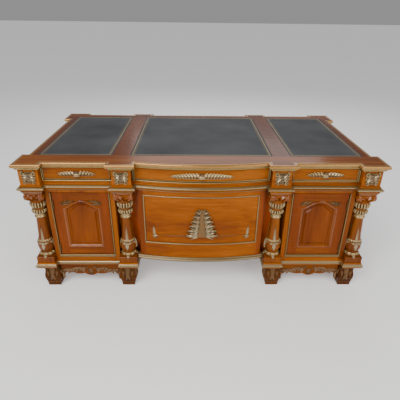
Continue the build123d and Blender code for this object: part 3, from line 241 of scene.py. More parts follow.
class Shader:
    """One material and the nodes that make it."""

    def __init__(self, name):
        self.material = bpy.data.materials.new(name)
        self.material.use_nodes = True
        self.tree = self.material.node_tree
        self.surface = self.tree.nodes["Principled BSDF"]
        self.place = self.node("ShaderNodeTexCoord", {}, {}, "Object")

    def node(self, kind, settings, inputs, output=0):
        """Add one node: its settings first, then the values or links of its sockets."""
        made = self.tree.nodes.new(kind)
        for key, value in settings.items():
            setattr(made, key, value)
        for key, value in inputs.items() if isinstance(inputs, dict) else enumerate(inputs):
            self.feed(made.inputs[key], value)
        return Value(self, made.outputs[output])

    def feed(self, socket, value):
        if isinstance(value, Value):
            self.tree.links.new(value.socket, socket)
        else:
            socket.default_value = value

    def axis(self, index):
        """One coordinate of the piece, in metres."""
        return self.node("ShaderNodeSeparateXYZ", {}, [self.place], index)

    def facing(self, index):
        """One part of the surface's own normal."""
        normal = self.node("ShaderNodeTexCoord", {}, {}, "Normal")
        return self.node("ShaderNodeSeparateXYZ", {}, [normal], index)

    def stretched(self, scale):
        return self.node("ShaderNodeMapping", {}, {"Vector": self.place, "Scale": scale})

    def noise(self, vector, scale, detail=3.0, roughness=0.5, distortion=0.0):
        return self.node("ShaderNodeTexNoise", {}, {"Vector": vector, "Scale": scale, "Detail": detail,
                                                    "Roughness": roughness, "Distortion": distortion})

    def cells(self, feature, scale):
        return self.node("ShaderNodeTexVoronoi", {"feature": feature}, {"Vector": self.place, "Scale": scale})

    def openness(self, distance, inside=False):
        """1 where nothing is near the surface, falling to 0 in its recesses, or at its edges from inside."""
        settings = {"samples": 8, "inside": inside}
        return self.node("ShaderNodeAmbientOcclusion", settings, {"Distance": distance}, 1)

    def mix(self, factor, first, second):
        """Blend two colours."""
        return self.node("ShaderNodeMix", {"data_type": "RGBA"}, {"Factor": factor, 6: first, 7: second}, 2)

    def shade(self, **inputs):
        """Set the surface's sockets; underscores stand for spaces."""
        for key, value in inputs.items():
            self.feed(self.surface.inputs[key.replace("_", " ")], value)
        return self.material

    def bump(self, height, strength, distance):
        return self.node("ShaderNodeBump", {}, {"Height": height, "Strength": strength, "Distance": distance})


def rgba(colour, gain=1.0):
    return (*[min(1.0, channel * gain) for channel in colour], 1)


def toned(colour, gain, red=0.0):
    """A wood colour made lighter or darker, and redder by holding back its green."""
    return [colour[0] * gain, colour[1] * gain * (1 - red), colour[2] * gain]


def grain(shader, along, light, dark):
    """Figure of one board whose fibres run along the given axis: its colour, its pores and its streaks."""
    def fibres(across_scale, along_scale, *settings):
        scale = [across_scale] * 3
        scale[along] = along_scale
        return shader.noise(shader.stretched(scale), 1.0, *settings)

    figure = fibres(5.5, 0.55, 4.0, 0.55, 1.1)
    streak = fibres(60.0, 3.0, 3.0, 0.6, 0.4)
    pores = fibres(420.0, 16.0, 2.0, 0.5)
    tone = (figure * 0.7 + streak * 0.3).between(0.36, 0.66)
    colour = shader.mix(tone, rgba(dark), rgba(light))
    darker = shader.mix((pores.between(0.52, 0.75)) * 0.30, colour, rgba(dark, 0.45))
    return darker, pores, streak


def wood(name, along=0, gain=1.0, other=None, mask=None, gloss=0.12, red=0.0, shade=None):
    """Polished wood. Boards under the mask run along the other axis, and shade tones the result."""
    shader = Shader(name)
    light, dark = toned(finishes().wood_light, gain, red), toned(finishes().wood_dark, gain, red)
    colour, pores, streak = grain(shader, along, light, dark)
    if along == 0:
        turned_colour, turned_pores, _ = grain(shader, 1, light, dark)
        sideways = abs(shader.facing(0)) > 0.7
        colour = shader.mix(sideways, colour, turned_colour)
        pores = pores * (1 - sideways) + turned_pores * sideways
    if mask:
        crossing_light = [light[0] * 0.80, light[1] * 0.62, light[2] * 0.75]
        crossing, crossing_pores, _ = grain(shader, other, crossing_light, dark)
        share = mask(shader)
        colour = shader.mix(share, colour, crossing)
        pores = pores * (1 - share) + crossing_pores * share
    cloud = shader.noise(shader.place, 3.2, 2.0).between(0.25, 0.8)
    colour = shader.mix(cloud * 0.35, colour, rgba(dark, 0.9))
    if shade:
        colour = shade(shader, colour)
    return shader.shade(
        Base_Color=colour, Roughness=streak * 0.12 + 0.20, Coat_Weight=gloss, Coat_Roughness=0.10,
        Specular_IOR_Level=0.08, Normal=shader.bump(pores, 0.06, 0.0004))


def door_stiles(shader):
    """The upright boards of a door frame, and those beside its rails."""
    inside = abs(abs(shader.axis(0)) - PEDESTAL_X * MM) < ARCH_HALF * MM
    height = shader.axis(2)
    return 1 - (height > ARCH_SHOULDER * MM).most(height < ARCH_FOOT * MM) * inside


def modesty_stiles(shader):
    return abs(shader.axis(0)) > MODESTY_HIGH.x * MM


def column_shade_and_cheek_light(shader, colour):
    """Painted shade: the stiles darken towards the columns, as in their shadow; painted light: the cheeks
    behind them are lighter and redder.
    """
    side = abs(shader.axis(0))
    shadow = side.between(STILE_SHADE_START, STILE_SHADE_END) * 0.45
    # Painted shadow of the columns on the stiles
    colour = shader.mix(shadow, colour, (0.11, 0.016, 0.0004, 1))
    # Painted light on the cheeks, which stand in the columns' shade
    return shader.mix((side > CHEEK) * 0.8, colour, (0.62, 0.105, 0.002, 1))


def cross_pieces(shader):
    """The boards of the top that run front to back, between and beside the leathers."""
    side = abs(shader.axis(0))
    field = abs(shader.axis(1) - FIELD_MIDDLE_Y) < FIELD_HALF
    between = (side > CROSS_PIECE_NEAR) * (side < CROSS_PIECE_FAR)
    return field * between.most(side > END_PIECE)


def darker_cross_pieces(shader, colour):
    return shader.mix(cross_pieces(shader) * 0.25, colour, (0.05, 0.012, 0.001, 1))


def drawer_wood(name, front):
    """Polished front and plain pale box; the front's face stands at the given distance from the middle."""
    shader = Shader(name)
    colour, pores, streak = grain(shader, 0, toned(finishes().wood_light, 0.86), finishes().wood_dark)
    inside, inner_pores, _ = grain(shader, 1, finishes().lining, toned(finishes().lining, 0.6))
    share = abs(shader.axis(1)) < (front - LIP) * MM
    return shader.shade(
        Base_Color=shader.mix(share, colour, inside), Roughness=streak * 0.12 + 0.20 + share * 0.25,
        Coat_Weight=(1 - share) * 0.12, Coat_Roughness=0.10, Specular_IOR_Level=0.08,
        Normal=shader.bump(pores * (1 - share) + inner_pores * share, 0.06, 0.0004))


def lining(name):
    """Plain pale wood of the insides."""
    shader = Shader(name)
    colour, pores, streak = grain(shader, 1, finishes().lining, toned(finishes().lining, 0.6))
    return shader.shade(
        Base_Color=colour, Roughness=streak * 0.1 + 0.45, Normal=shader.bump(pores, 0.1, 0.0004))


def gilding(name, gain=1.0, depth=6, wash=1.0, reflection_band=None, edges=0.12, carved=0.0, warm=0.0, lift=None,
            sheen=1.0, olive=0.0):
    """Antique gilding: brown wash and painted shade in the recesses up to the depth in mm, warm metal on the
    high places.

    Wash and warm bring back the wood's brown, a painted reflection pales it to light brown from one level up
    to another, edges brighten the arrises with edge wear and a painted highlight, carved breaks the surface
    into cuts, lift pales it from one level to another (on the pulls, painted light from above), sheen is the
    share of the metal's shine, and olive greens it.
    """
    shader = Shader(name)
    light, dark, brown = finishes().gilt_light, finishes().gilt_wash_and_shade, finishes().wood_light
    light = (light[0], light[1] * (1 - olive * 0.15), light[2] * (1 - olive))
    # Painted shade: the recesses, found by occlusion, darken towards the dark gilt, partly a real brown wash
    # and partly shade
    hollow = shader.openness(depth * MM)
    mottle = shader.noise(shader.place, 130.0, 4.0, 0.65)
    worn = shader.noise(shader.place, 26.0, 3.0, 0.6)
    high = (hollow.between(0.50, 0.98) * 0.86 + mottle * 0.28 * wash).between(0.18, 0.92)
    if carved:
        cuts = shader.cells("DISTANCE_TO_EDGE", 185.0).between(0.03, 0.22)
        high = high * (1 - carved + cuts * carved)
    # Lift darkens the gilding below one level and pales it above another; on the pulls this is painted light
    # from above
    if lift:
        start, end, least = lift
        high = high * (shader.axis(2).between(start * MM, end * MM) * (1 - least) + least)
    colour = shader.mix(high, rgba(dark, gain), rgba(light, gain))
    # Painted reflection: the band between the two levels is paled towards light brown
    if reflection_band:
        start, end = reflection_band
        upper = shader.axis(2).between(start * MM, end * MM)
        colour = shader.mix(upper * 0.34, colour, rgba(brown, 1.30))
    colour = shader.mix(worn.between(0.50, 0.76) * 0.40 * wash, colour, rgba(brown, 0.75))
    colour = shader.mix(warm, colour, rgba(brown, 0.42))
    # Painted highlight: the arrises of the high places brighten, partly edge wear and partly a highlight
    edge = (1 - shader.openness(0.0012, inside=True).between(0.25, 0.7)) * high
    colour = shader.mix(edge * edges, colour, rgba((0.80, 0.68, 0.46), gain ** 0.5))
    return shader.shade(
        Base_Color=colour, Metallic=high * (0.45 * sheen) + 0.10 * sheen,
        Roughness=0.44 - high * (0.18 * sheen), Coat_Weight=0.3 * sheen, Coat_Roughness=0.15,
        Specular_IOR_Level=0.12 + 0.38 * sheen, Normal=shader.bump(mottle, 0.22, 0.0006))


def tooled_leather(name, node):
    """Dark leather with a fine grain and two gilt lines tooled parallel to its edge."""
    shader = Shader(name)
    low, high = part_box(node)
    middle, half = (low + high) / 2, (high - low) / 2
    to_side = half.x - abs(shader.axis(0) - middle.x)
    to_end = half.y - abs(shader.axis(1) - middle.y)
    edge = to_side.least(to_end)
    inset, width = sizes().tooling_inset, sizes().tooling_width
    line = abs(edge - inset) < width / 2
    fine_line = abs(edge - (inset + 2.2 * width)) < width / 5
    gilt = line.most(fine_line * 0.6)
    cloud = shader.noise(shader.place, 4.0, 4.0)
    leather = finishes().leather
    hide = shader.mix(cloud.between(0.3, 0.75), rgba(leather, 0.75), rgba(leather, 1.45))
    broken = shader.noise(shader.place, 240.0, 2.0).between(0.25, 0.45)
    colour = shader.mix(gilt * broken, hide, rgba(finishes().gilt_light, 0.85))
    return shader.shade(
        Base_Color=colour, Roughness=0.62 - gilt * 0.2, Metallic=gilt * 0.4, Specular_IOR_Level=0.12,
        Normal=shader.bump(shader.cells("F1", 520.0), 0.10, 0.0006))


def brass(name):
    """Old brass, brown in spots."""
    shader = Shader(name)
    spots = shader.noise(shader.place, 180.0, 4.0)
    colour = shader.mix(spots, (0.060, 0.030, 0.008, 1), (0.16, 0.095, 0.03, 1))
    return shader.shade(Base_Color=colour, Metallic=0.8, Roughness=spots * 0.2 + 0.4)


def pull_height(low, high):
    """Height of a pull's middle on a drawer front with a bead along its foot."""
    return (low.z + PULL_RISE + high.z) / 2


FRIEZE_PULL_Z = pull_height(*box("front_left_drawer"))
# Painted light on the pulls: the gilding pales from 6 mm under their middle to 12 mm over it, and darkens
# below, as if lit from above
PULL_PAINTED_LIGHT = (FRIEZE_PULL_Z - 6, FRIEZE_PULL_Z + 12, 0.35)
FINISHES = {
    "wood_x": (wood, {}),
    "wood_z": (wood, dict(along=2)),
    "top_wood": (wood, dict(gain=0.70, other=1, mask=cross_pieces, shade=darker_cross_pieces)),
    "cove_wood": (wood, dict(gain=1.05, gloss=0.0)),
    "column_wood": (wood, dict(along=2, gain=0.74, gloss=0.2)),
    "capital_wood": (wood, dict(gain=0.86, gloss=0.7)),
    "foot_wood": (wood, dict(along=2, gain=0.36, gloss=0.08)),
    "sole_wood": (wood, dict(gain=0.4)),
    "apron_wood": (wood, dict(gain=0.66)),
    "door_frame_wood": (wood, dict(gain=0.80, other=2, mask=door_stiles, red=0.08)),
    "door_panel_wood": (wood, dict(along=2, gain=0.66, red=0.16)),
    "arch_wood": (wood, dict(along=2, gain=0.78, gloss=0.9, red=0.06)),
    "modesty_frame_wood": (wood, dict(gain=1.08, other=2, mask=modesty_stiles, shade=column_shade_and_cheek_light)),
    "modesty_panel_wood": (wood, dict(gain=1.14)),
    "front_drawer_wood": (drawer_wood, dict(front=RECESS_Y)),
    "rear_drawer_wood": (drawer_wood, dict(front=RECESS_Y)),
    "bowed_drawer_wood": (drawer_wood, dict(front=BOWED_FRONT_Y)),
    "lining_wood": (lining, {}),
    "hinge_brass": (brass, {}),
    "leather_left_finish": (tooled_leather, dict(node="leather_left")),
    "leather_centre_finish": (tooled_leather, dict(node="leather_centre")),
    "leather_right_finish": (tooled_leather, dict(node="leather_right")),
    # The nosing's upper band is a painted reflection
    "nosing_gilding": (gilding, dict(gain=0.72, wash=0.9, olive=0.35, reflection_band=(TOP - 20, TOP - 10))),
    "moulding_gilding": (gilding, dict(gain=0.60, wash=0.7, edges=0.2)),
    "base_gilding": (gilding, dict(gain=0.48, wash=0.9, edges=0.2, warm=0.08, olive=0.24)),
    "antique_gilding": (gilding, dict(gain=0.86, depth=8, edges=0.2)),
    "leaf_gilding": (gilding, dict(gain=0.55, edges=0.3, sheen=0.5, lift=(350, 315, 0.62))),
    "foot_gilding": (gilding, dict(gain=0.23, depth=10, carved=0.4, warm=0.36, sheen=0.1, olive=0.4)),
    "dark_gilding": (gilding, dict(gain=0.42, depth=10, carved=0.30, warm=0.50, sheen=0.4)),
    "bright_gilding": (gilding, dict(gain=0.76, depth=9, wash=0.8, edges=0.4, carved=0.2, olive=0.12)),
    "boss_gilding": (gilding, dict(gain=0.34, depth=10, edges=0.3, warm=0.25)),
    "bead_gilding": (gilding, dict(gain=0.80, depth=5, wash=0.6, olive=0.15)),
    "pull_gilding_14": (gilding, dict(gain=1.4, depth=7, wash=0.5, edges=0.5, lift=PULL_PAINTED_LIGHT)),
    "pull_gilding_18": (gilding, dict(gain=1.8, depth=7, wash=0.5, edges=0.5, lift=PULL_PAINTED_LIGHT)),
    "spray_gilding": (gilding, dict(gain=0.26, edges=0.0, warm=0.2, sheen=0.15)),
    "surround_gilding": (gilding, dict(gain=0.47, wash=0.8, edges=0.2, warm=0.12, olive=0.30)),
    "stem_gilding": (gilding, dict(gain=0.36, depth=8, edges=0.05, warm=0.30, sheen=0.25)),
    "plume_gilding": (gilding, dict(gain=0.62, depth=10, edges=0.2, sheen=0.5)),
}

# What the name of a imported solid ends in, and its finish; the others are polished wood with fibres along X
NODE_FINISHES = (
    ("door_frame", "door_frame_wood"), ("door_panel", "door_panel_wood"), ("hinges", "hinge_brass"),
    ("hinge_plates", "hinge_brass"), ("modesty_frame", "modesty_frame_wood"),
    ("modesty_panel", "modesty_panel_wood"), ("top_slab", "top_wood"), ("drawer_runners", "lining_wood"),
    ("shelf_pegs", "lining_wood"), ("shelf", "lining_wood"), ("leather_left", "leather_left_finish"),
    ("leather_centre", "leather_centre_finish"), ("leather_right", "leather_right_finish"),
    ("front_centre_drawer", "bowed_drawer_wood"), ("front_left_drawer", "front_drawer_wood"),
    ("front_right_drawer", "front_drawer_wood"), ("drawer", "rear_drawer_wood"), ("aprons", "apron_wood"),
    ("pedestal_case", "wood_z"), ("columns", "wood_z"), ("side_panels", "wood_z"), ("", "wood_x"),
)


def finish(name):
    """The material of this name, made once and shared."""
    make, settings = FINISHES[name]
    return bpy.data.materials.get(name) or make(name, **settings)


def bow_y(x, grow=0.0):
    """How far the bowed front stands out at X, in front of the desk's middle."""
    return sqrt((BOW_RADIUS + grow) ** 2 - x ** 2) - BOW_CENTRE_Y


def mirrored(right):
    """A run of points on the right-hand side and its reflection, in order round the outline."""
    return right + [(-x, y) for x, y in reversed(right)]


def desk_outline():
    """Breakfront outline of the frieze, anticlockwise, with the bow in short runs."""
    inner, outer, near, far = INNER_FACE_X, FACE_X, INNER_NOTCH_X, OUTER_NOTCH_X
    right = [
        (inner, -BOW_END_Y), (inner, -FACE_Y), (near, -FACE_Y), (near, -RECESS_Y), (far, -RECESS_Y),
        (far, -FACE_Y), (outer, -FACE_Y), (outer, -NOTCH_Y), (SIDE_X, -NOTCH_Y), (SIDE_X, NOTCH_Y),
        (outer, NOTCH_Y), (outer, FACE_Y), (far, FACE_Y), (far, RECESS_Y), (near, RECESS_Y),
        (near, FACE_Y), (inner, FACE_Y), (inner, RECESS_Y),
    ]
    steps = 28
    across = [-inner + 2 * inner * k / steps for k in range(1, steps)]
    return mirrored(right) + [(x, -bow_y(x)) for x in across]


def pedestal_outline(centre):
    """Outline of one pedestal with its four corner blocks, anticlockwise."""
    far, outer, side = (x - PEDESTAL_X for x in (OUTER_NOTCH_X, FACE_X, SIDE_X))
    right = [
        (far, -RECESS_Y), (far, -FACE_Y), (outer, -FACE_Y), (outer, -NOTCH_Y), (side, -NOTCH_Y),
        (side, NOTCH_Y), (outer, NOTCH_Y), (outer, FACE_Y), (far, FACE_Y), (far, RECESS_Y),
    ]
    return [(centre + x, y) for x, y in mirrored(right)]


def square(half):
    return [(half, half), (-half, half), (-half, -half), (half, -half)]


def arc(centre, radius, start, end, steps):
    """Points on an arc of a profile, angles in degrees."""
    angles = [radians(start + (end - start) * k / steps) for k in range(steps + 1)]
    return [(centre[0] + radius * cos(angle), centre[1] + radius * sin(angle)) for angle in angles]


def move(x=0.0, y=0.0, z=0.0):
    return Matrix.Translation((x, y, z))


def spin(degrees):
    """Turn round an upright axis, anticlockwise from above."""
    return Matrix.Rotation(radians(degrees), 4, "Z")


def lean(degrees):
    """Turn in the face of a front panel: positive leans to the left."""
    return Matrix.Rotation(radians(-degrees), 4, "Y")


# A plan stood up to face the visitor, and an upright section laid down as a plan
UPRIGHT = Matrix(((1, 0, 0, 0), (0, 0, -1, 0), (0, 1, 0, 0), (0, 0, 0, 1)))
LYING = Matrix(((1, 0, 0, 0), (0, 0, 1, 0), (0, 1, 0, 0), (0, 0, 0, 1)))
QUARTERS = [spin(90 * quarter) for quarter in range(4)]


def mitres(points, closed):
    """A matrix at each point of a flat path: X points to its right-hand side, across the mitre."""
    points = [Vector(point) for point in points]
    count = len(points)
    made = []
    for index, here in enumerate(points):
        before = here - points[index - 1] if closed or index else None
        after = points[(index + 1) % count] - here if closed or index < count - 1 else None
        before, after = before or after, after or before
        before, after = before.normalized(), after.normalized()
        side_0, side_1 = Vector((before.y, -before.x)), Vector((after.y, -after.x))
        across = (side_0 + side_1) / (1 + side_0.dot(side_1))
        along = (before + after).normalized()
        made.append(Matrix(((across.x, along.x, 0, here.x), (across.y, along.y, 0, here.y),
                            (0, 0, 1, 0), (0, 0, 0, 1))))
    return made


def with_stops(path, closed, steps):
    """Mitred frames of a path, with plain ones along its level runs, so that these can follow the bow."""
    frames = mitres(path, closed)
    made = []
    for here, after in zip(frames, frames[1:] + frames[:closed]):
        made.append(here)
        start, end = here.translation, after.translation
        if abs(end.x - start.x) > 10:
            plain = mitres([start.xy, end.xy], False)[0].to_3x3().to_4x4()
            made += [Matrix.Translation(start.lerp(end, k / steps)) @ plain for k in range(1, steps)]
    return made if closed else made + frames[-1:]


def moved(bm, matrix):
    bmesh.ops.transform(bm, matrix=matrix, verts=bm.verts)
    return bm


def add(bm, part, matrix=Matrix()):
    """Put a finished part in its place and join it to the mesh under construction."""
    mesh = bpy.data.meshes.new("part")
    moved(part, matrix).to_mesh(mesh)
    part.free()
    bm.from_mesh(mesh)
    bpy.data.meshes.remove(mesh)


def swept(profile, stations, closed=False, scales=None):
    """A closed profile of (out, up) pairs drawn along the stations, by extrusion."""
    part = bmesh.new()
    scales = scales or [1.0] * len(stations)
    frames = [station @ Matrix.Scale(scale, 4) for station, scale in zip(stations, scales)]
    corners = [part.verts.new(frames[0] @ Vector((out, 0, up))) for out, up in profile]
    first = [part.edges.new(pair) for pair in zip(corners, corners[1:] + corners[:1])]
    edges = first
    for before, after in zip(frames, frames[1:]):
        made = bmesh.ops.extrude_edge_only(part, edges=edges)["geom"]
        pushed = {item for item in made if isinstance(item, bmesh.types.BMVert)}
        bmesh.ops.transform(part, matrix=after @ before.inverted(), verts=list(pushed))
        edges = [item for item in made
                 if isinstance(item, bmesh.types.BMEdge) and pushed.issuperset(item.verts)]
    if closed:
        bmesh.ops.bridge_loops(part, edges=first + edges)
    else:
        for ring in (first, edges):
            bmesh.ops.contextual_create(part, geom=ring)
    return part


def plate(section, *levels):
    """An upright plate: a section of (x, z) pairs drawn forward through levels of (depth, share of width)."""
    return swept(section, [move(y=-depth) @ Matrix.Diagonal((share, 1, 1, 1)) for depth, share in levels])


def block(width, depth, height):
    part = bmesh.new()
    bmesh.ops.create_cube(part, size=1, matrix=Matrix.Diagonal((width, depth, height, 1)))
    return part


def turned(profile, steps=48):
    """A profile of (radius, height) pairs turned round Z; the ends lie on the axis or are capped."""
    part = bmesh.new()
    points = [part.verts.new((radius, 0, height)) for radius, height in profile]
    edges = [part.edges.new(pair) for pair in zip(points, points[1:])]
    bmesh.ops.spin(part, geom=points + edges, axis=(0, 0, 1), cent=(0, 0, 0), steps=steps, angle=tau,
                   use_merge=True)
    bmesh.ops.remove_doubles(part, verts=part.verts, dist=0.01)
    rims = [edge for edge in part.edges if edge.is_boundary]
    if rims:
        bmesh.ops.holes_fill(part, edges=rims, sides=0)
    return part


def leaf_shape(t, swell):
    """Half width of a leaf, as a share, at t from its foot to its tip; a small swell puts the belly low."""
    return max(0.0, sin(pi * t ** swell)) ** 0.7 * (1 - t ** 6) + 0.06 * (1 - t)


def leaf(bm, length, width, matrix=Matrix(), curl=0.0, arch=0.0, lobes=0, thickness=None, rows=10, across=6,
         swell=0.75):
    """One carved leaf from the origin up Z, its face towards -Y, with a raised rib and a curled tip."""
    part = bmesh.new()
    grid = bmesh.ops.create_grid(part, x_segments=across, y_segments=rows, size=0.5)["verts"]
    thickness = thickness or sizes().leaf_thickness / MM
    for vert in grid:
        u, t = vert.co.x * 2, vert.co.y + 0.5
        notch = 1 - 0.32 * abs(sin(pi * lobes * t)) if lobes else 1
        half = width / 2 * leaf_shape(t, swell) * (notch if abs(u) > 0.9 else 0.5 + 0.5 * notch)
        rise = thickness * 1.6 * (1 - abs(u)) + width * 0.10 * (1 - u * u)
        lift = curl * max(0.0, t - 0.55) ** 2 * 5 + arch * sin(pi * t)
        drop = curl * max(0.0, t - 0.8) * 1.2
        vert.co = (u * half, -(rise + lift), t * length - abs(drop))
    bmesh.ops.solidify(part, geom=part.faces, thickness=thickness)
    add(bm, part, matrix)


def fan(bm, root, hand, leaves, **form):
    """Leaves from one root, each given by its degrees out from upright, its length and its width."""
    for outward, length, width in leaves:
        leaf(bm, length, width, root @ lean(-hand * outward), **form)


def knob(bm, radius, matrix=Matrix(), squash=1.0, lobes=0):
    """A small carved boss, flattened along Y, with a dimpled or lobed face."""
    part = bmesh.new()
    bmesh.ops.create_icosphere(part, subdivisions=2, radius=radius)
    for vert in part.verts:
        reach = Vector((vert.co.x, vert.co.z)).length / radius
        petal = 1 + 0.16 * cos(lobes * atan2(vert.co.z, vert.co.x)) * reach if lobes else 1
        dimple = 0.22 * radius * (1 - min(1.0, reach * 2.2)) if vert.co.y < 0 else 0
        vert.co = (vert.co.x * petal, (vert.co.y + dimple) * squash, vert.co.z * petal)
    add(bm, part, matrix)


def scroll(bm, radius, width, thickness, turns, matrix, hand):
    """A band rolled up in the XZ plane, its eye at the origin; it starts on top, at the radius."""
    steps = int(18 * turns)
    points, scales = [], []
    for k in range(steps + 1):
        share = k / steps
        angle = pi / 2 - hand * share * turns * tau
        reach = radius * (1 - 0.82 * share)
        points.append((reach * cos(angle), reach * sin(angle)))
        scales.append(1 - 0.45 * share)
    t, w, eye = thickness / 2, width / 2, radius * 0.30
    bar = [(-t, -w * 0.86), (-t * 0.4, -w), (t * 0.4, -w), (t, -w * 0.86),
           (t, w * 0.86), (t * 0.4, w), (-t * 0.4, w), (-t, w * 0.86)]
    add(bm, swept(bar, mitres(points, False), scales=scales), matrix @ UPRIGHT)
    knob(bm, eye, matrix @ Matrix.Diagonal((1, w / eye * 0.8, 1, 1)))


def repeated(proto, places):
    """A bmesh with copies of a prototype, which is used up."""
    mesh = bpy.data.meshes.new("pattern")
    proto.to_mesh(mesh)
    proto.free()
    bm = bmesh.new()
    for place in places:
        part = bmesh.new()
        part.from_mesh(mesh)
        add(bm, part, place)
    bpy.data.meshes.remove(mesh)
    return bm


def reach_at(profile, height):
    """How far a profile of (out, up) pairs stands out at a height."""
    pairs = sorted((up, out) for out, up in profile)
    for (low, near), (high, far) in zip(pairs, pairs[1:]):
        if low <= height <= high:
            return near + (far - near) * (height - low) / (high - low)
    return pairs[0][1] if height < pairs[0][0] else pairs[-1][1]


def lay_on_turning(bm, profile):
    """Wrap a flat front piece round a turned profile."""
    for vert in bm.verts:
        surface = reach_at(profile, vert.co.z)
        angle, reach = vert.co.x / surface, surface - vert.co.y
        vert.co = (reach * sin(angle), -reach * cos(angle), vert.co.z)
    return bm


def bend_to_bow(bm, grow=0.0):
    """Lay a flat front piece on the bowed face."""
    for vert in bm.verts:
        vert.co.y -= bow_y(vert.co.x, grow)
    return bm


def finish_piece(bm, name, finish_name, body="carcass", nodes=()):
    """Turn a bmesh into a piece that rides on a body and may stand for CAD nodes."""
    moved(bm, Matrix.Scale(MM, 4))
    bmesh.ops.recalc_face_normals(bm, faces=bm.faces)
    mesh = bpy.data.meshes.new(name)
    bm.to_mesh(mesh)
    bm.free()
    piece = bpy.data.objects.new(name, mesh)
    bpy.context.scene.collection.objects.link(piece)
    mesh.materials.append(finish(finish_name))
    mesh.polygons.foreach_set("use_smooth", [True] * len(mesh.polygons))
    mesh.set_sharp_from_angle(angle=radians(CREASE))
    slot = "gilt" if "gilding" in finish_name else "mahogany"
    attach(piece, body)
    if nodes:
        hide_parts(*nodes)


class DESK_OT_finishes(bpy.types.Operator):
    """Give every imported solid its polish, lining or metal"""
    bl_idname = "desk.finishes"
    bl_label = "Finishes"

    def execute(self, context):
        for node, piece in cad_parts.items():
            name = next(name for ending, name in NODE_FINISHES if node.endswith(ending))
            piece.data.materials.clear()
            piece.data.materials.append(finish(name))
        return {"FINISHED"}


class DESK_OT_mouldings(bpy.types.Operator):
    """Run the gilt nosing, the waist moulding and the base mouldings round the desk"""
    bl_idname = "desk.mouldings"
    bl_label = "Mouldings"

    def execute(self, context):
        path = mitres(desk_outline(), True)
        top, high, low, back = TOP, FRIEZE_BOTTOM, CASE_TOP, -14
        nosing = [
            (5, top - 0.5), (11, top - 0.5), (12.5, top), *arc((15.5, top - 9.5), 9.5, 84, -35, 9),
            (22, top - 17), *arc((24, top - 33.5), 15, 95, 176, 6), (0, top - 35), (0, SLAB_BOTTOM),
            (5, SLAB_BOTTOM)]
        fascia = [(back, high), *arc((2.4, high - 3), 3, 90, -40, 5), (4.5, high - 9), (back, high - 9)]
        ogee = [
            (back, high - 8.8), (3.6, high - 8.8), (5, high - 10), (10.5, high - 12.2), (11.5, high - 13.6),
            *arc((14.2, high - 18.4), 4.8, 100, -60, 8), (12, high - 23.5), (back, high - 23.5)]
        cove = [
            (back, high - 23.4), (14, high - 23.4), *arc((17, low + 1.5), 13.5, 98, 178, 6),
            (3.5, low + 0.5), (back, low + 0.5)]
        fillet = [(-4, low + 3.2), *arc((3.4, low + 1.7), 1.6, 90, -90, 5), (-4, low + 0.1)]
        for section, name, finish_name, nodes in (
                (nosing, "top_edge_gilding", "nosing_gilding", ["top_edge_moulding"]),
                (fascia, "waist_fascia", "wood_x", ()),
                (ogee, "waist_gilding", "moulding_gilding", ["waist_moulding"]),
                (cove, "waist_cove", "cove_wood", ()),
                (fillet, "waist_fillet", "moulding_gilding", ())):
            finish_piece(swept(section, path, closed=True), name, finish_name, nodes=nodes)
        for name, side in SIDES:
            self.base(name, side * PEDESTAL_X)
        return {"FINISHED"}

    def base(self, name, centre):
        """Wooden cyma under the plinths, on a solid core, with a gilt skin on its lower part."""
        path = mitres(pedestal_outline(centre), True)
        low, high = BASE_BOTTOM, BASE_TOP
        cyma = [
            (-12, high), (0.5, high), (1.5, high - 3), *arc((12.5, high - 4.5), 11, 180, 245, 5),
            (8.2, low + 23.5), (8.2, low + 13.5), *arc((-9.5, low + 14.5), 14, -6, -84, 6), (-9.5, low),
            (-12, low)]
        band = [
            (0, low + 33.5), (2.2, low + 33.5), *arc((12.5, high - 4.5), 10.2, 206, 245, 4), (8.9, low + 25),
            *arc((5.4, low + 18.2), 4.6, 40, -80, 8), (0, low + 12.5)]
        bm = swept(cyma, path, closed=True)
        core = [(station @ Vector((-11, 0, 0))).xy for station in path]
        add(bm, swept(core, [move(z=level) @ LYING for level in (low, high)]))
        finish_piece(bm, f"{name}_base_wood", "wood_x", nodes=[f"{name}_base_moulding"])
        finish_piece(swept(band, path, closed=True), f"{name}_base_gilding", "base_gilding")


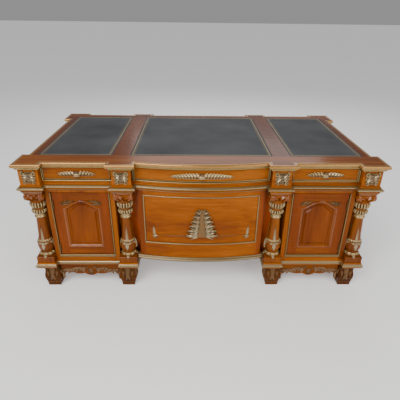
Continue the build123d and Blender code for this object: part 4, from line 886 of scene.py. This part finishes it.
class DESK_OT_columns(bpy.types.Operator):
    """Turn and carve the eight columns, with their gilt rings and leaves"""
    bl_idname = "desk.columns"
    bl_label = "Columns"

    def execute(self, context):
        places = [move(side * axis, end * AXIS_Y) @ spin(0 if end < 0 else 180)
                  for side in (-1, 1) for axis in (OUTER_AXIS, INNER_AXIS) for end in (-1, 1)]
        for part, name, finish_name, nodes in (
                (self.turning(), "column_turnings", "column_wood", ["columns"]),
                (self.capital(), "column_capitals", "capital_wood", ()),
                (self.rings(), "column_rings", "antique_gilding", ()),
                (self.leaves(), "column_leaves", "leaf_gilding", ())):
            finish_piece(repeated(part, places), name, finish_name, nodes=nodes)
        return {"FINISHED"}

    def turning(self):
        """Plinth block, bulb, tapering shaft and bowl."""
        foot, top = BASE_TOP, PLINTH_TOP
        plinth = [(-12, foot), (-1.5, foot), (-1.5, top - 6), (-0.2, top - 4.5), (-0.2, top - 2),
                  (-1.5, top - 0.5), (-5, top), (-40, top), (-40, foot)]
        bm = swept(plinth, mitres(square(COLUMN_HALF), True), closed=True)
        add(bm, turned(COLUMN_PROFILE))
        return bm

    def capital(self):
        """Square abacus over four diagonal scrolls, with drooping leaves on each face."""
        low = ABACUS_BOTTOM
        abacus = [(-45, low), (-7, low), (-4, low + 2), (-3, low + 6), (-0.6, low + 9), (-0.2, low + 11),
                  (-0.2, low + 17), (-45, low + 17)]
        arm = [(0, -11), (8, -11), (8, 11), (0, 11)]
        rise = mitres([(16, 606), (30, 609.5), (44, 610.5)], False)
        bm = swept(abacus, mitres(square(COLUMN_HALF), True), closed=True)
        for facing in QUARTERS:
            corner = facing @ spin(45)
            add(bm, turned(VOLUTE, 28), corner @ move(44.5, 0, 593.5) @ UPRIGHT @ Matrix.Scale(1.14, 4))
            leaf(bm, 32, 18, corner @ move(59, 0, low) @ spin(90) @ lean(180), arch=5, thickness=3)
            add(bm, swept(arm, rise), corner @ UPRIGHT)
            for hand in (-1, 1):
                root = facing @ move(hand * 34, -36, 608)
                leaf(bm, 48, 19, root @ lean(180 - hand * 50), curl=4, arch=6, thickness=4)
            leaf(bm, 26, 16, facing @ move(0, -35, low) @ lean(180), curl=6, arch=4, thickness=4)
        return bm

    def rings(self):
        """Ring at the bulb's foot, ring over the bulb, collar of the shaft and two lobed rings."""
        bm = bmesh.new()
        lobes = sizes().ring_lobes
        for count, depth, profile in (
                (lobes // 2, 0.16, [(33, 219), (39, 219.5), (43, 223), (44.5, 229), (43.5, 235), (39, 240),
                                    (33, 241)]),
                (lobes, 0.10, [(33, 311), (37.5, 312), (39.5, 315), (40.5, 319), (39, 323), (35, 326),
                               (32, 327)]),
                (1, 0.0, [(23, 462), (29, 463), (31.5, 466), (31.5, 470), (29.5, 473), (27.5, 476), (27, 481),
                          (28, 486), (30, 489), (23, 489.5)]),
                (lobes, 0.30, [(26, 487), (31, 488), (36.5, 491), (40.5, 496.5), (41.5, 502.5), (40, 508),
                               (35.5, 512), (30, 514), (26, 514.5)]),
                (lobes, 0.30, [(28, 522), (33, 523), (39, 527.5), (43.5, 535), (45, 542.5), (44.5, 550),
                               (41, 556), (35, 560), (28, 561.5)])):
            add(bm, self.lobed(profile, count, depth))
        return bm

    def lobed(self, profile, lobes, depth):
        """A turned ring whose outside swells into lobes."""
        inner = min(radius for radius, _ in profile)
        ring = turned(profile, 6 * lobes if lobes > 1 else 36)
        for vert in ring.verts:
            share = (vert.co.xy.length - inner) / (RING_REACH - inner)
            swell = abs(cos(lobes * atan2(vert.co.y, vert.co.x) / 2)) ** 0.55
            factor = 1 - depth * max(0.0, min(1.0, share * 1.4)) * (1 - swell)
            vert.co = (vert.co.x * factor, vert.co.y * factor, vert.co.z)
        return ring

    def leaves(self):
        """Leaves rising on the shaft, hanging over the bulb with two short arms, and over the plinth."""
        count = sizes().shaft_leaves
        rising = bmesh.new()
        leaf(rising, 94, 17, move(0, 0.8, 322), thickness=1.4, rows=14, swell=0.36)
        bm = repeated(lay_on_turning(rising, COLUMN_PROFILE), [spin(360 * k / count) for k in range(count)])
        hanging = bmesh.new()
        leaf(hanging, 56, 23, move(0, 0.5, 312) @ lean(180), thickness=2.8, lobes=2)
        for hand in (-1, 1):
            leaf(hanging, 24, 12, move(hand * 6, 0.5, 302) @ lean(-hand * 80), thickness=2.8)
        lay_on_turning(hanging, COLUMN_PROFILE)
        leaf(hanging, 18, 17, move(0, -44, 225) @ Matrix.Rotation(radians(-12), 4, "X") @ lean(180), curl=2,
             thickness=2.4)
        add(bm, repeated(hanging, QUARTERS))
        return bm


class DESK_OT_feet(bpy.types.Operator):
    """Carve the bracket feet and the scalloped aprons"""
    bl_idname = "desk.feet"
    bl_label = "Feet and aprons"

    def execute(self, context):
        for name, side in SIDES:
            low, high = box(f"{name}_feet")
            places = [move(x, y) @ spin(facing) for x in (low.x + FOOT_INSET, high.x - FOOT_INSET)
                      for y, facing in ((low.y + FOOT_INSET, 0), (high.y - FOOT_INSET, 180))]
            feet = self.flatten(repeated(self.foot(), places), KNEEHOLE_X)
            finish_piece(feet, f"{name}_bracket_feet", "foot_wood", nodes=[f"{name}_feet"])
            carved = self.flatten(repeated(self.foot_leaves(), places), KNEEHOLE_X - 2.5)
            finish_piece(carved, f"{name}_foot_leaves", "foot_gilding")
            finish_piece(repeated(self.sole(), places), f"{name}_foot_soles", "sole_wood")
            self.apron_carving(name, side * PEDESTAL_X)
        return {"FINISHED"}

    def flatten(self, bm, near):
        """Towards the kneehole the feet end on a plane, which leans 3 mm back from it at the floor."""
        for vert in bm.verts:
            if abs(vert.co.x) <= near + 6:
                vert.co.x = copysign(near + 3 * (1 - vert.co.z / BASE_BOTTOM), vert.co.x)
        return bm

    def foot(self):
        """Ogee bracket round a square core."""
        core = [(FOOT_CORE, FOOT_OGEE[-1][1]), (FOOT_CORE, FOOT_OGEE[0][1])]
        return swept([*FOOT_OGEE, *core], mitres(square(ANKLE), True), closed=True)

    def foot_leaves(self):
        """A drooping leaf between shorter ones on each face, with scrolls beside them and toes below."""
        face = bmesh.new()
        leaf(face, 100, 36, move(0, 0, 136) @ lean(180), lobes=4, thickness=3, rows=20)
        beside = ((12, 134, 62, 26, 26), (10, 86, 56, 24, 28), (26, 108, 44, 17, 4))
        for hand in (-1, 1):
            for x, z, length, width, outward in beside:
                leaf(face, length, width, move(hand * x, 0, z) @ lean(180 - hand * outward), lobes=3,
                     thickness=3, rows=14)
            scroll(face, 10, 8, 3.4, 1.2, move(hand * 27, -1, 60), hand)
            scroll(face, 9, 8, 3.4, 1.2, move(hand * 29, -1, 120), hand)
        for k in range(-2, 3):
            knob(face, 5.6, move(k * 13.5, 0, 26), squash=0.8)
        for vert in face.verts:
            vert.co.y -= ANKLE + reach_at(FOOT_OGEE, vert.co.z) - 1
        return repeated(face, QUARTERS)

    def sole(self):
        """Pad under a foot, down to the floor."""
        pad = [(FOOT_CORE, 0), (-1.2, 0), (0, 1.2), (0.8, 13.4), (FOOT_CORE, 13.4)]
        return swept(pad, mitres(square(ANKLE), True), closed=True)

    def apron_carving(self, name, centre):
        """Shell in the middle and leaves running out along the lower edge of each apron."""
        front_half, side_half = 174, 394
        front_y, side_out = RECESS_Y - 8, SIDE_X - PEDESTAL_X - 8
        bm = repeated(self.carving(front_half, 6), [
            move(centre, -front_y), move(centre, front_y) @ spin(180)])
        finish_piece(bm, f"{name}_apron_carving", "dark_gilding")
        bm = repeated(self.carving(side_half, 12), [
            move(centre + side_out) @ spin(90), move(centre - side_out) @ spin(-90)])
        finish_piece(bm, f"{name}_side_apron_carving", "dark_gilding")

    def carving(self, half, steps):
        """The shell, and clusters of leaves on either side that run out to a scroll and a hanging leaf."""
        bm = bmesh.new()
        for k in range(-4, 5):
            leaf(bm, 38 - 2 * abs(k), 15, move(k * 3, 0.5, 104) @ lean(180 - k * 21), curl=4, thickness=2.8)
        knob(bm, 9, move(0, -3, 106), squash=0.6, lobes=5)
        for hand in (-1, 1):
            scroll(bm, 10, 6, 4, 1.2, move(hand * 24, -2, 120), hand)
            for k in range(steps):
                share = (k + 0.4) / steps
                x = hand * (26 + share * (half - 52))
                z = 100 + 7 * sin(share * pi * steps / 3)
                shorter = 4 * (k % 2)
                for outward, length, width, rise in ((78, 36, 20, 0), (126, 28, 17, -2), (44, 24, 15, 3)):
                    leaf(bm, length - shorter, width, move(x, 0.5, z + rise) @ lean(-hand * outward), curl=5,
                         lobes=2, thickness=2.6)
            scroll(bm, 13, 6, 4, 1.3, move(hand * (half - 15), -2, 96), hand)
            leaf(bm, 56, 20, move(hand * (half - 5), 0.5, 90) @ lean(180 - hand * 4), curl=3, lobes=3,
                 thickness=2.6)
        return bm


class DESK_OT_rosettes(bpy.types.Operator):
    """Carve the leaf rosettes on the blocks of the frieze"""
    bl_idname = "desk.rosettes"
    bl_label = "Rosettes"

    def execute(self, context):
        nosing_foot, scale = 5, 1.26
        middle = (FRIEZE_BOTTOM + SLAB_BOTTOM - nosing_foot) / 2
        side_y = (FACE_Y + NOTCH_Y) / 2
        places = []
        for x in (-OUTER_AXIS, -INNER_AXIS, INNER_AXIS, OUTER_AXIS):
            places += [move(x, -FACE_Y, middle), move(x, FACE_Y, middle) @ spin(180)]
        for y in (-side_y, side_y):
            places += [move(-FACE_X, y, middle) @ spin(-90), move(FACE_X, y, middle) @ spin(90)]
        places = [place @ Matrix.Diagonal((scale, 1, scale, 1)) for place in places]
        finish_piece(repeated(self.rosette(), places), "carved_rosettes", "bright_gilding",
                     nodes=["block_rosettes"])
        finish_piece(repeated(self.flower(), places), "rosette_flowers", "boss_gilding")
        return {"FINISHED"}

    def rosette(self):
        """A square of carving: scrolls at its corners, leaves between them and a knob at each side."""
        bm = bmesh.new()
        add(bm, block(51, 2.4, 49))
        for hand in (-1, 1):
            scroll(bm, 10.5, 8.5, 5.5, 1.2, move(hand * 19.5, -3, 17.5), hand)
            scroll(bm, 8.5, 8, 5, 1.2, move(hand * 20.5, -3, -18.5) @ lean(180), hand)
            fan(bm, move(hand * 2.5, 0.2), hand, ((14, 30, 12), (47, 34, 15), (88, 26, 17), (131, 33, 15),
                                                  (162, 27, 12)), curl=8, lobes=2, thickness=3.4)
            knob(bm, 4.6, move(hand * 26, -4.5), squash=0.8)
        fan(bm, move(0, -0.8), -1, ((0, 25, 11), (180, 26, 11)), curl=7, thickness=3.4)
        return bm

    def flower(self):
        """Five petals round a small knob, left dark, over the leaves' roots."""
        bm = bmesh.new()
        fan(bm, move(0, -3.6, 1), -1, [(72 * k, 11, 9.5) for k in range(5)], curl=5, thickness=2.4, rows=6,
            across=4)
        knob(bm, 3.6, move(0, -6.8, 1), squash=0.8)
        return bm


def reeded_bead():
    """Section of a gilt bead, to the left of its path: an oval round, a quirk and a fine oval reed."""
    width, proud, under = 13.5, 8, -0.6
    round_half, reed_half = 0.27 * width, 0.19 * width
    section = [(out, up * proud / round_half) for out, up in arc((round_half, 0), round_half, 180, 10, 7)]
    section += [(width * 0.59, 0.2)]
    reed = arc((width * 0.81, 0), reed_half, 165, 0, 5)
    section += [(out, up * proud * 0.8 / reed_half) for out, up in reed]
    section += [(width, under), (0, under)]
    return [(-out, up) for out, up in reversed(section)]


def feathered_half(bm, hand, start, length, leaflets, height):
    """Half of a carved pull: bright leaflets fan up and out over a rib, short ones hang under it."""
    leaf(bm, length, 6.5, move(hand * (start - 4), 0.5, -height * 0.17) @ lean(-hand * 88), thickness=3.4,
         arch=2, rows=12, across=4)
    for k in range(leaflets):
        share = (k + 0.3) / leaflets
        x = hand * (start - 5 + share * (length - 10))
        size = height * (0.56 + 0.08 * sin(pi * share) - 0.26 * share ** 2)
        outward = 28 + 34 * share
        leaf(bm, size, height * 0.34, move(x, 0.6, -height * 0.14) @ lean(-hand * outward), curl=10, arch=4,
             thickness=3.4, rows=8, across=4)
        tip = Vector((hand * sin(radians(outward)), 0, cos(radians(outward)))) * size * 0.90
        knob(bm, 4.2, move(x + tip.x, -6.4, tip.z - height * 0.14), squash=0.8)
        leaf(bm, size * 0.46, height * 0.24, move(x, 0.4, -height * 0.20) @ lean(-hand * 128), curl=3,
             thickness=2.2, rows=6, across=4)
    leaf(bm, 20, 8, move(hand * (start + length - 18), 0.5, -height * 0.06) @ lean(-hand * 94), arch=3,
         thickness=3.2, across=4)


def pull(length, height, leaflets):
    """Carved pull on a flat front, its back at y 0: two feathered halves and the finger cup."""
    bm = bmesh.new()
    start, stops = 15, 12
    for hand in (-1, 1):
        feathered_half(bm, hand, start, length / 2 - start, leaflets, height)
    wall = arc((0, 0), 12, 70, -20, 6) + arc((0, 0), 9.6, -20, 70, 6)
    path = [(-16 + 32 * k / stops, 0) for k in range(stops + 1)]
    scales = [0.45 + 0.55 * sqrt(max(0.0, 1 - (2 * k / stops - 1) ** 2)) for k in range(stops + 1)]
    add(bm, swept(wall, mitres(path, False), scales=scales), move(0, -3, -8))
    for k in range(-2, 3):
        knob(bm, 3.4, move(k * 5.6, -13 + abs(k), -12), squash=0.7)
    return bm


def pull_boss():
    """Rosette over the finger cup, left dark."""
    bm = bmesh.new()
    fan(bm, move(0, -1, 5), -1, [(60 * k, 14, 11) for k in range(6)], curl=3, arch=3, thickness=3, rows=6,
        across=4)
    knob(bm, 9.5, move(0, -2, 5), squash=0.6, lobes=6)
    knob(bm, 4, move(0, -8, 5), squash=0.7)
    return bm


class DESK_OT_drawers(bpy.types.Operator):
    """Gild the drawer beads and carve the pulls"""
    bl_idname = "desk.drawers"
    bl_label = "Drawers"

    def execute(self, context):
        for place in ("left", "centre", "right"):
            self.dress(f"front_{place}_drawer")
            self.dress(f"rear_{place}_drawer")
        for side in ("left", "right"):
            for level in ("lower", "upper"):
                self.dress(f"{side}_{level}_drawer")
        return {"FINISHED"}

    def bead(self, half, low, high):
        """Bead on the left, bottom and right edges of a drawer front, its back at y 0."""
        path = [(-half, high), (-half, low), (half, low), (half, high)]
        return moved(swept(reeded_bead(), with_stops(path, False, 18)), UPRIGHT)

    def dress(self, node):
        """Bead, pull and boss of one drawer; those of the bowed drawer follow its front."""
        low, high = box(node)
        centre, middle = (low.x + high.x) / 2, pull_height(low, high)
        to_visitor, bowed = node.startswith("front"), node == "front_centre_drawer"
        bead = self.bead((high.x - low.x) / 2, low.z - middle, high.z - middle)
        if high.x - low.x > WIDE_DRAWER:
            carved = pull(330, 50, sizes().centre_leaflets)
        else:
            carved = pull(200, 45, sizes().pull_leaflets)
        if bowed:
            place = move(0, -bow_y(0), middle)
        elif to_visitor:
            place = move(centre, -RECESS_Y, middle)
        else:
            place = move(centre, RECESS_Y, middle) @ spin(180)
        for part in (bead, carved):
            if bowed:
                bend_to_bow(moved(part, move(z=middle)))
            else:
                moved(part, place)
        if to_visitor:
            pull_finish = "pull_gilding_18" if bowed else "pull_gilding_14"
            finish_piece(bead, f"{node}_gilt_bead", "bead_gilding", node, [f"{node}_bead"])
            finish_piece(carved, f"{node}_carved_pull", pull_finish, node, [f"{node}_pull"])
        else:
            finish_piece(bead, f"{node}_gilt_bead", "moulding_gilding", node, [f"{node}_trim"])
            finish_piece(carved, f"{node}_carved_pull", "bright_gilding", node)
        finish_piece(moved(pull_boss(), place), f"{node}_pull_boss", "boss_gilding", node)


class DESK_OT_doors(bpy.types.Operator):
    """Shape the arched door mouldings, the leaf sprays and the gilt beads round the doors"""
    bl_idname = "desk.doors"
    bl_label = "Doors"

    def execute(self, context):
        for name, side in SIDES:
            self.arch(name, side * PEDESTAL_X)
            self.sprays(name, side * PEDESTAL_X)
        self.surrounds()
        return {"FINISHED"}

    def arch(self, name, centre):
        """Polished moulding round the arched panel."""
        half, steps = ARCH_HALF, 24
        points = [(-half, ARCH_SHOULDER), (-half, ARCH_FOOT), (half, ARCH_FOOT), (half, ARCH_SHOULDER)]
        for k in range(1, steps):
            x = half * (1 - 2 * k / steps)
            lift = (1 + cos(pi * x / half)) / 2
            points.append((x, ARCH_SHOULDER + (ARCH_PEAK - ARCH_SHOULDER) * lift ** 0.74))
        path = mitres([(centre + x, z) for x, z in points], True)
        section = [(3.5, -0.6), (2.8, 1.2), (1.4, 1.6), *arc((-3.2, 2.2), 4.4, 15, 170, 7), (-9.5, 0.8),
                   (-12, -2), (-15, -7), (3.5, -7)]
        bm = moved(swept(section, path, closed=True), move(y=-RECESS_Y) @ UPRIGHT)
        finish_piece(bm, f"{name}_arch_moulding", "arch_wood", f"{name}_door", [f"{name}_door_mouldings"])

    def sprays(self, name, centre):
        """A leafy spray over each shoulder of the arch: it starts at a small ball and follows the flank."""
        bm = bmesh.new()
        ball_x, ball_z = 105, 541
        for hand in (-1, 1):
            knob(bm, 5, move(centre + hand * ball_x, -RECESS_Y - 3, ball_z), squash=0.9)
            root = move(centre + hand * (ball_x - 2), -RECESS_Y + 0.5, ball_z)
            fan(bm, root, -hand, ((52, 50, 13), (70, 76, 15), (90, 58, 12), (26, 30, 9)), curl=4, lobes=4,
                thickness=2.4, rows=14)
            leaf(bm, 20, 8, root @ lean(-hand * 16), curl=4, thickness=2.2)
        finish_piece(bm, f"{name}_door_sprays", "spray_gilding", f"{name}_door")

    def surrounds(self):
        """Half-round beads up both sides of each opening, and a double bead and a rail on the sill."""
        stile_x, bead_radius, back = 156, 3.4, -17
        beads, rails = bmesh.new(), bmesh.new()
        upright = [*arc((0, 0), bead_radius, 0, 180, 7), (-bead_radius, back), (bead_radius, back)]
        double = [(0, back), (0, 2), *arc((-3.6, 2.2), 3.4, 10, 170, 6), *arc((-11, 1.4), 3.8, 10, 170, 6),
                  (-15, back)]
        rail = [(0, -18), (0, 0), (23.5, 0), (23.5, -18)]
        for centre in (-PEDESTAL_X, PEDESTAL_X):
            left, right = centre - OPENING_HALF, centre + OPENING_HALF
            for x in (centre - stile_x, centre + stile_x):
                path = mitres([(x, PLINTH_TOP), (x, SURROUND_TOP)], False)
                add(beads, swept(upright, path), move(y=-RECESS_Y - 4) @ UPRIGHT)
            path = mitres([(left, SILL_Z), (right, SILL_Z)], False)
            add(beads, swept(double, path), move(y=-RECESS_Y - 2) @ UPRIGHT)
            path = mitres([(right, BASE_TOP), (left, BASE_TOP)], False)
            add(rails, swept(rail, path), move(y=-RECESS_Y) @ UPRIGHT)
        finish_piece(beads, "door_surround_beads", "surround_gilding", nodes=["door_surrounds"])
        finish_piece(rails, "door_sill_rails", "wood_x")


class DESK_OT_modesty(bpy.types.Operator):
    """Gild the bowed panel's bead and sill, and carve its plume and corner sprays"""
    bl_idname = "desk.modesty"
    bl_label = "Modesty panel"

    def execute(self, context):
        self.bead()
        self.sill()
        for part, name, finish_name, nodes in (
                (self.stem(), "modesty_plume_stem", "stem_gilding", ()),
                (self.plume(), "modesty_plume", "plume_gilding", ["modesty_carving"])):
            finish_piece(bend_to_bow(part, -2 * MODESTY_SETBACK), name, finish_name, nodes=nodes)
        return {"FINISHED"}

    def bead(self):
        """Bead round the panel, in its rebate."""
        low, high = MODESTY_LOW, MODESTY_HIGH
        path = with_stops([(low.x, low.z), (high.x, low.z), (high.x, high.z), (low.x, high.z)], True, 20)
        section = [(3.5, -1), *arc((0.2, 0.5), 3.3, 5, 175, 8), (-3.6, -0.5), (-3.6, -4.5), (0, -4.5),
                   (0, -1)]
        bm = moved(swept(section, path, closed=True), UPRIGHT)
        finish_piece(bend_to_bow(bm, -MODESTY_SETBACK), "modesty_bead", "moulding_gilding")

    def sill(self):
        """Double round under the panel, and the blocks that return it behind the columns."""
        half, bottom, steps, back = INNER_AXIS - 50.6, 191, 24, -20
        path = mitres([(-half + 2 * half * k / steps, bottom) for k in range(steps + 1)], False)
        section = [(0, back), (0, 12), *arc((-6.2, 7.5), 6, 30, 160, 8), (-14, 5.5),
                   *arc((-18, 3), 3.4, 30, 180, 5), (-22, 0), (-22, back)]
        bm = moved(swept(section, path), UPRIGHT)
        finish_piece(bend_to_bow(bm, -MODESTY_SETBACK), "modesty_sill", "moulding_gilding",
                     nodes=["modesty_mouldings"])
        returns = bmesh.new()
        for hand in (-1, 1):
            add(returns, block(58, 74, 20), move(hand * 374, -414, 192))
        finish_piece(returns, "sill_returns", "wood_x")

    def plume(self):
        """Two columns of curled leaf clusters and a scrolled head; then the sprig at each corner."""
        bm = bmesh.new()
        count = sizes().plume_leaflets
        for hand in (-1, 1):
            for k in range(count):
                share = k / (count - 1)
                z = PLUME_FOOT + (PLUME_HEAD - PLUME_FOOT - 12) * share
                start, reach, outward = 18 - 11 * share, 76 - 38 * share, 84 - 26 * share
                slim = 1 - 0.2 * share
                cluster = [(outward + swing, reach * length, width * slim) for swing, length, width in (
                    (-40, 0.66, 17), (-18, 0.92, 19), (6, 1.0, 19), (30, 0.68, 16))]
                fan(bm, move(PLUME_X + hand * start, 0.6, z), hand, cluster, curl=12, arch=6, thickness=3.2,
                    across=4)
                knob(bm, 4.6 * slim, move(PLUME_X + hand * (start + reach * 0.86), -9, z + reach * 0.12),
                     squash=0.8)
            leaf(bm, 58, 16, move(PLUME_X + hand * 34, 0.5, PLUME_FOOT - 3) @ lean(-hand * 94), arch=5,
                 lobes=2, thickness=3)
            self.sprig(bm, hand)
            scroll(bm, 13, 9, 5, 1.2, move(PLUME_X + hand * 12, -3, PLUME_HEAD + 2), hand)
            leaf(bm, 26, 14, move(PLUME_X + hand * 3, 0.2, PLUME_HEAD - 1) @ lean(-hand * 48), curl=8,
                 thickness=3)
        leaf(bm, 22, 24, move(PLUME_X, 0.2, PLUME_HEAD - 3), curl=8, thickness=3)
        return bm

    def sprig(self, bm, hand):
        """Upright leaf at a lower corner of the panel, with two short ones and a small boss at its foot."""
        leaf(bm, 72, 15, move(hand * (SPRIG_X - 4), 0.4, SPRIG_Z) @ lean(-hand * 2), curl=3, thickness=2.4,
             rows=14)
        leaf(bm, 34, 16, move(hand * (SPRIG_X + 4), 0.4, SPRIG_Z) @ lean(hand * 80), curl=4, lobes=2,
             thickness=2.8)
        leaf(bm, 22, 12, move(hand * (SPRIG_X + 2), 0.4, SPRIG_Z - 2) @ lean(hand * 112), curl=4,
             thickness=2.8)
        knob(bm, 6, move(hand * SPRIG_X, -2.5, SPRIG_Z), squash=0.7, lobes=4)

    def stem(self):
        """Plain dull stem on a wider dark ground behind the plume, and a slim line along the panel's foot;
        the ground is partly the carving's ground and partly painted shade between the leaves.
        """
        bm = bmesh.new()
        stem = [(26, 352), (20, 385), (15, 430), (11, 505)]
        ground = [(70, 350), (64, 372), (60, 398), (50, 420), (46, 446), (37, 468), (31, 492), (20, 514),
                  (8, 521)]
        add(bm, plate(mirrored(stem), (-1, 1), (9, 1), (11, 0.8)), move(PLUME_X))
        # The dark ground fills the gaps between the leaves: partly the carving's ground, partly painted shade
        add(bm, plate(mirrored(ground), (-1, 1), (3, 1)), move(PLUME_X))
        for hand in (-1, 1):
            leaf(bm, 190, 4.5, move(PLUME_X + hand * 76, 0.4, 354) @ lean(-hand * 90.6), thickness=1.6,
                 rows=20)
        return bm


class DESK_OT_stage(bpy.types.Operator):
    """Set up the floor, the soft lights and the camera"""
    bl_idname = "desk.stage"
    bl_label = "Stage"

    def execute(self, context):
        self.floor()
        self.world()
        for light in LIGHTS:
            self.light(*light)
        self.camera()
        return {"FINISHED"}

    def place(self, name, data):
        item = bpy.data.objects.new(name, data)
        bpy.context.scene.collection.objects.link(item)
        return item

    def floor(self):
        bm = bmesh.new()
        bmesh.ops.create_grid(bm, x_segments=1, y_segments=1, size=FLOOR_HALF)
        mesh = bpy.data.meshes.new("studio_floor")
        bm.to_mesh(mesh)
        bm.free()
        mesh.materials.append(Shader("studio_paper").shade(
            Base_Color=(0.92, 0.92, 0.92, 1), Roughness=0.9, Specular_IOR_Level=0.1,
            Emission_Color=(1.0, 1.0, 1.0, 1), Emission_Strength=0.28))
        floor = self.place("studio_floor", mesh)

    def world(self):
        world = bpy.data.worlds.new("studio_room")
        world.use_nodes = True
        air = world.node_tree.nodes["Background"].inputs
        air["Color"].default_value = (1.0, 1.0, 1.0, 1)
        air["Strength"].default_value = 0.30
        bpy.context.scene.world = world

    def light(self, name, place, size, power, colour):
        lamp = bpy.data.lights.new(name, "AREA")
        lamp.size, lamp.energy, lamp.color = size, power, colour
        holder = self.place(name, lamp)
        holder.location = place
        aim = Vector(LIGHTS_AIM) - Vector(place)
        holder.rotation_euler = aim.to_track_quat("-Z", "Y").to_euler()

    def camera(self):
        """The photograph's camera: its turn is found from its line of sight, and then rolled."""
        lens = bpy.data.cameras.new("camera")
        lens.sensor_width, lens.lens = SENSOR, SENSOR * FOCAL_PIXELS / PHOTO_PIXELS
        lens.clip_start = 0.05
        pitch, yaw, roll = radians(PITCH), radians(YAW), radians(ROLL)
        ahead = Vector((sin(yaw) * cos(pitch), cos(yaw) * cos(pitch), -sin(pitch)))
        right = Vector((cos(yaw), -sin(yaw), 0))
        up = right.cross(ahead)
        rolled_right = cos(roll) * right + sin(roll) * up
        rolled_up = -sin(roll) * right + cos(roll) * up
        turn = Matrix((rolled_right, rolled_up, -ahead)).transposed().to_4x4()
        holder = self.place("camera", lens)
        holder.matrix_world = Matrix.Translation(CAMERA_PLACE) @ turn
        bpy.context.scene.camera = holder


STEPS = ("finishes", "mouldings", "columns", "feet", "rosettes", "drawers", "doors", "modesty", "stage")


class DESK_PT_panel(bpy.types.Panel):
    """Sidebar panel with the desk's sizes, finishes and steps"""
    bl_label = "Desk"
    bl_idname = "DESK_PT_panel"
    bl_space_type = "VIEW_3D"
    bl_region_type = "UI"
    bl_category = "Desk"

    def draw(self, context):
        for group in (context.scene.desk_sizes, context.scene.desk_finishes):
            rows = self.layout.box()
            for name in group.bl_rna.properties.keys():
                if name not in ("rna_type", "name"):
                    rows.prop(group, name)
        for step in STEPS:
            self.layout.operator(f"desk.{step}")


CLASSES = (DeskSizes, DeskFinishes, DESK_OT_finishes, DESK_OT_mouldings, DESK_OT_columns, DESK_OT_feet,
           DESK_OT_rosettes, DESK_OT_drawers, DESK_OT_doors, DESK_OT_modesty, DESK_OT_stage, DESK_PT_panel)


def register():
    for part in CLASSES:
        bpy.utils.register_class(part)
    bpy.types.Scene.desk_sizes = PointerProperty(type=DeskSizes)
    bpy.types.Scene.desk_finishes = PointerProperty(type=DeskFinishes)


def unregister():
    del bpy.types.Scene.desk_finishes
    del bpy.types.Scene.desk_sizes
    for part in reversed(CLASSES):
        bpy.utils.unregister_class(part)


def main():
    register()
    for step in STEPS:
        getattr(bpy.ops.desk, step)()


if __name__ == "__main__":
    main()
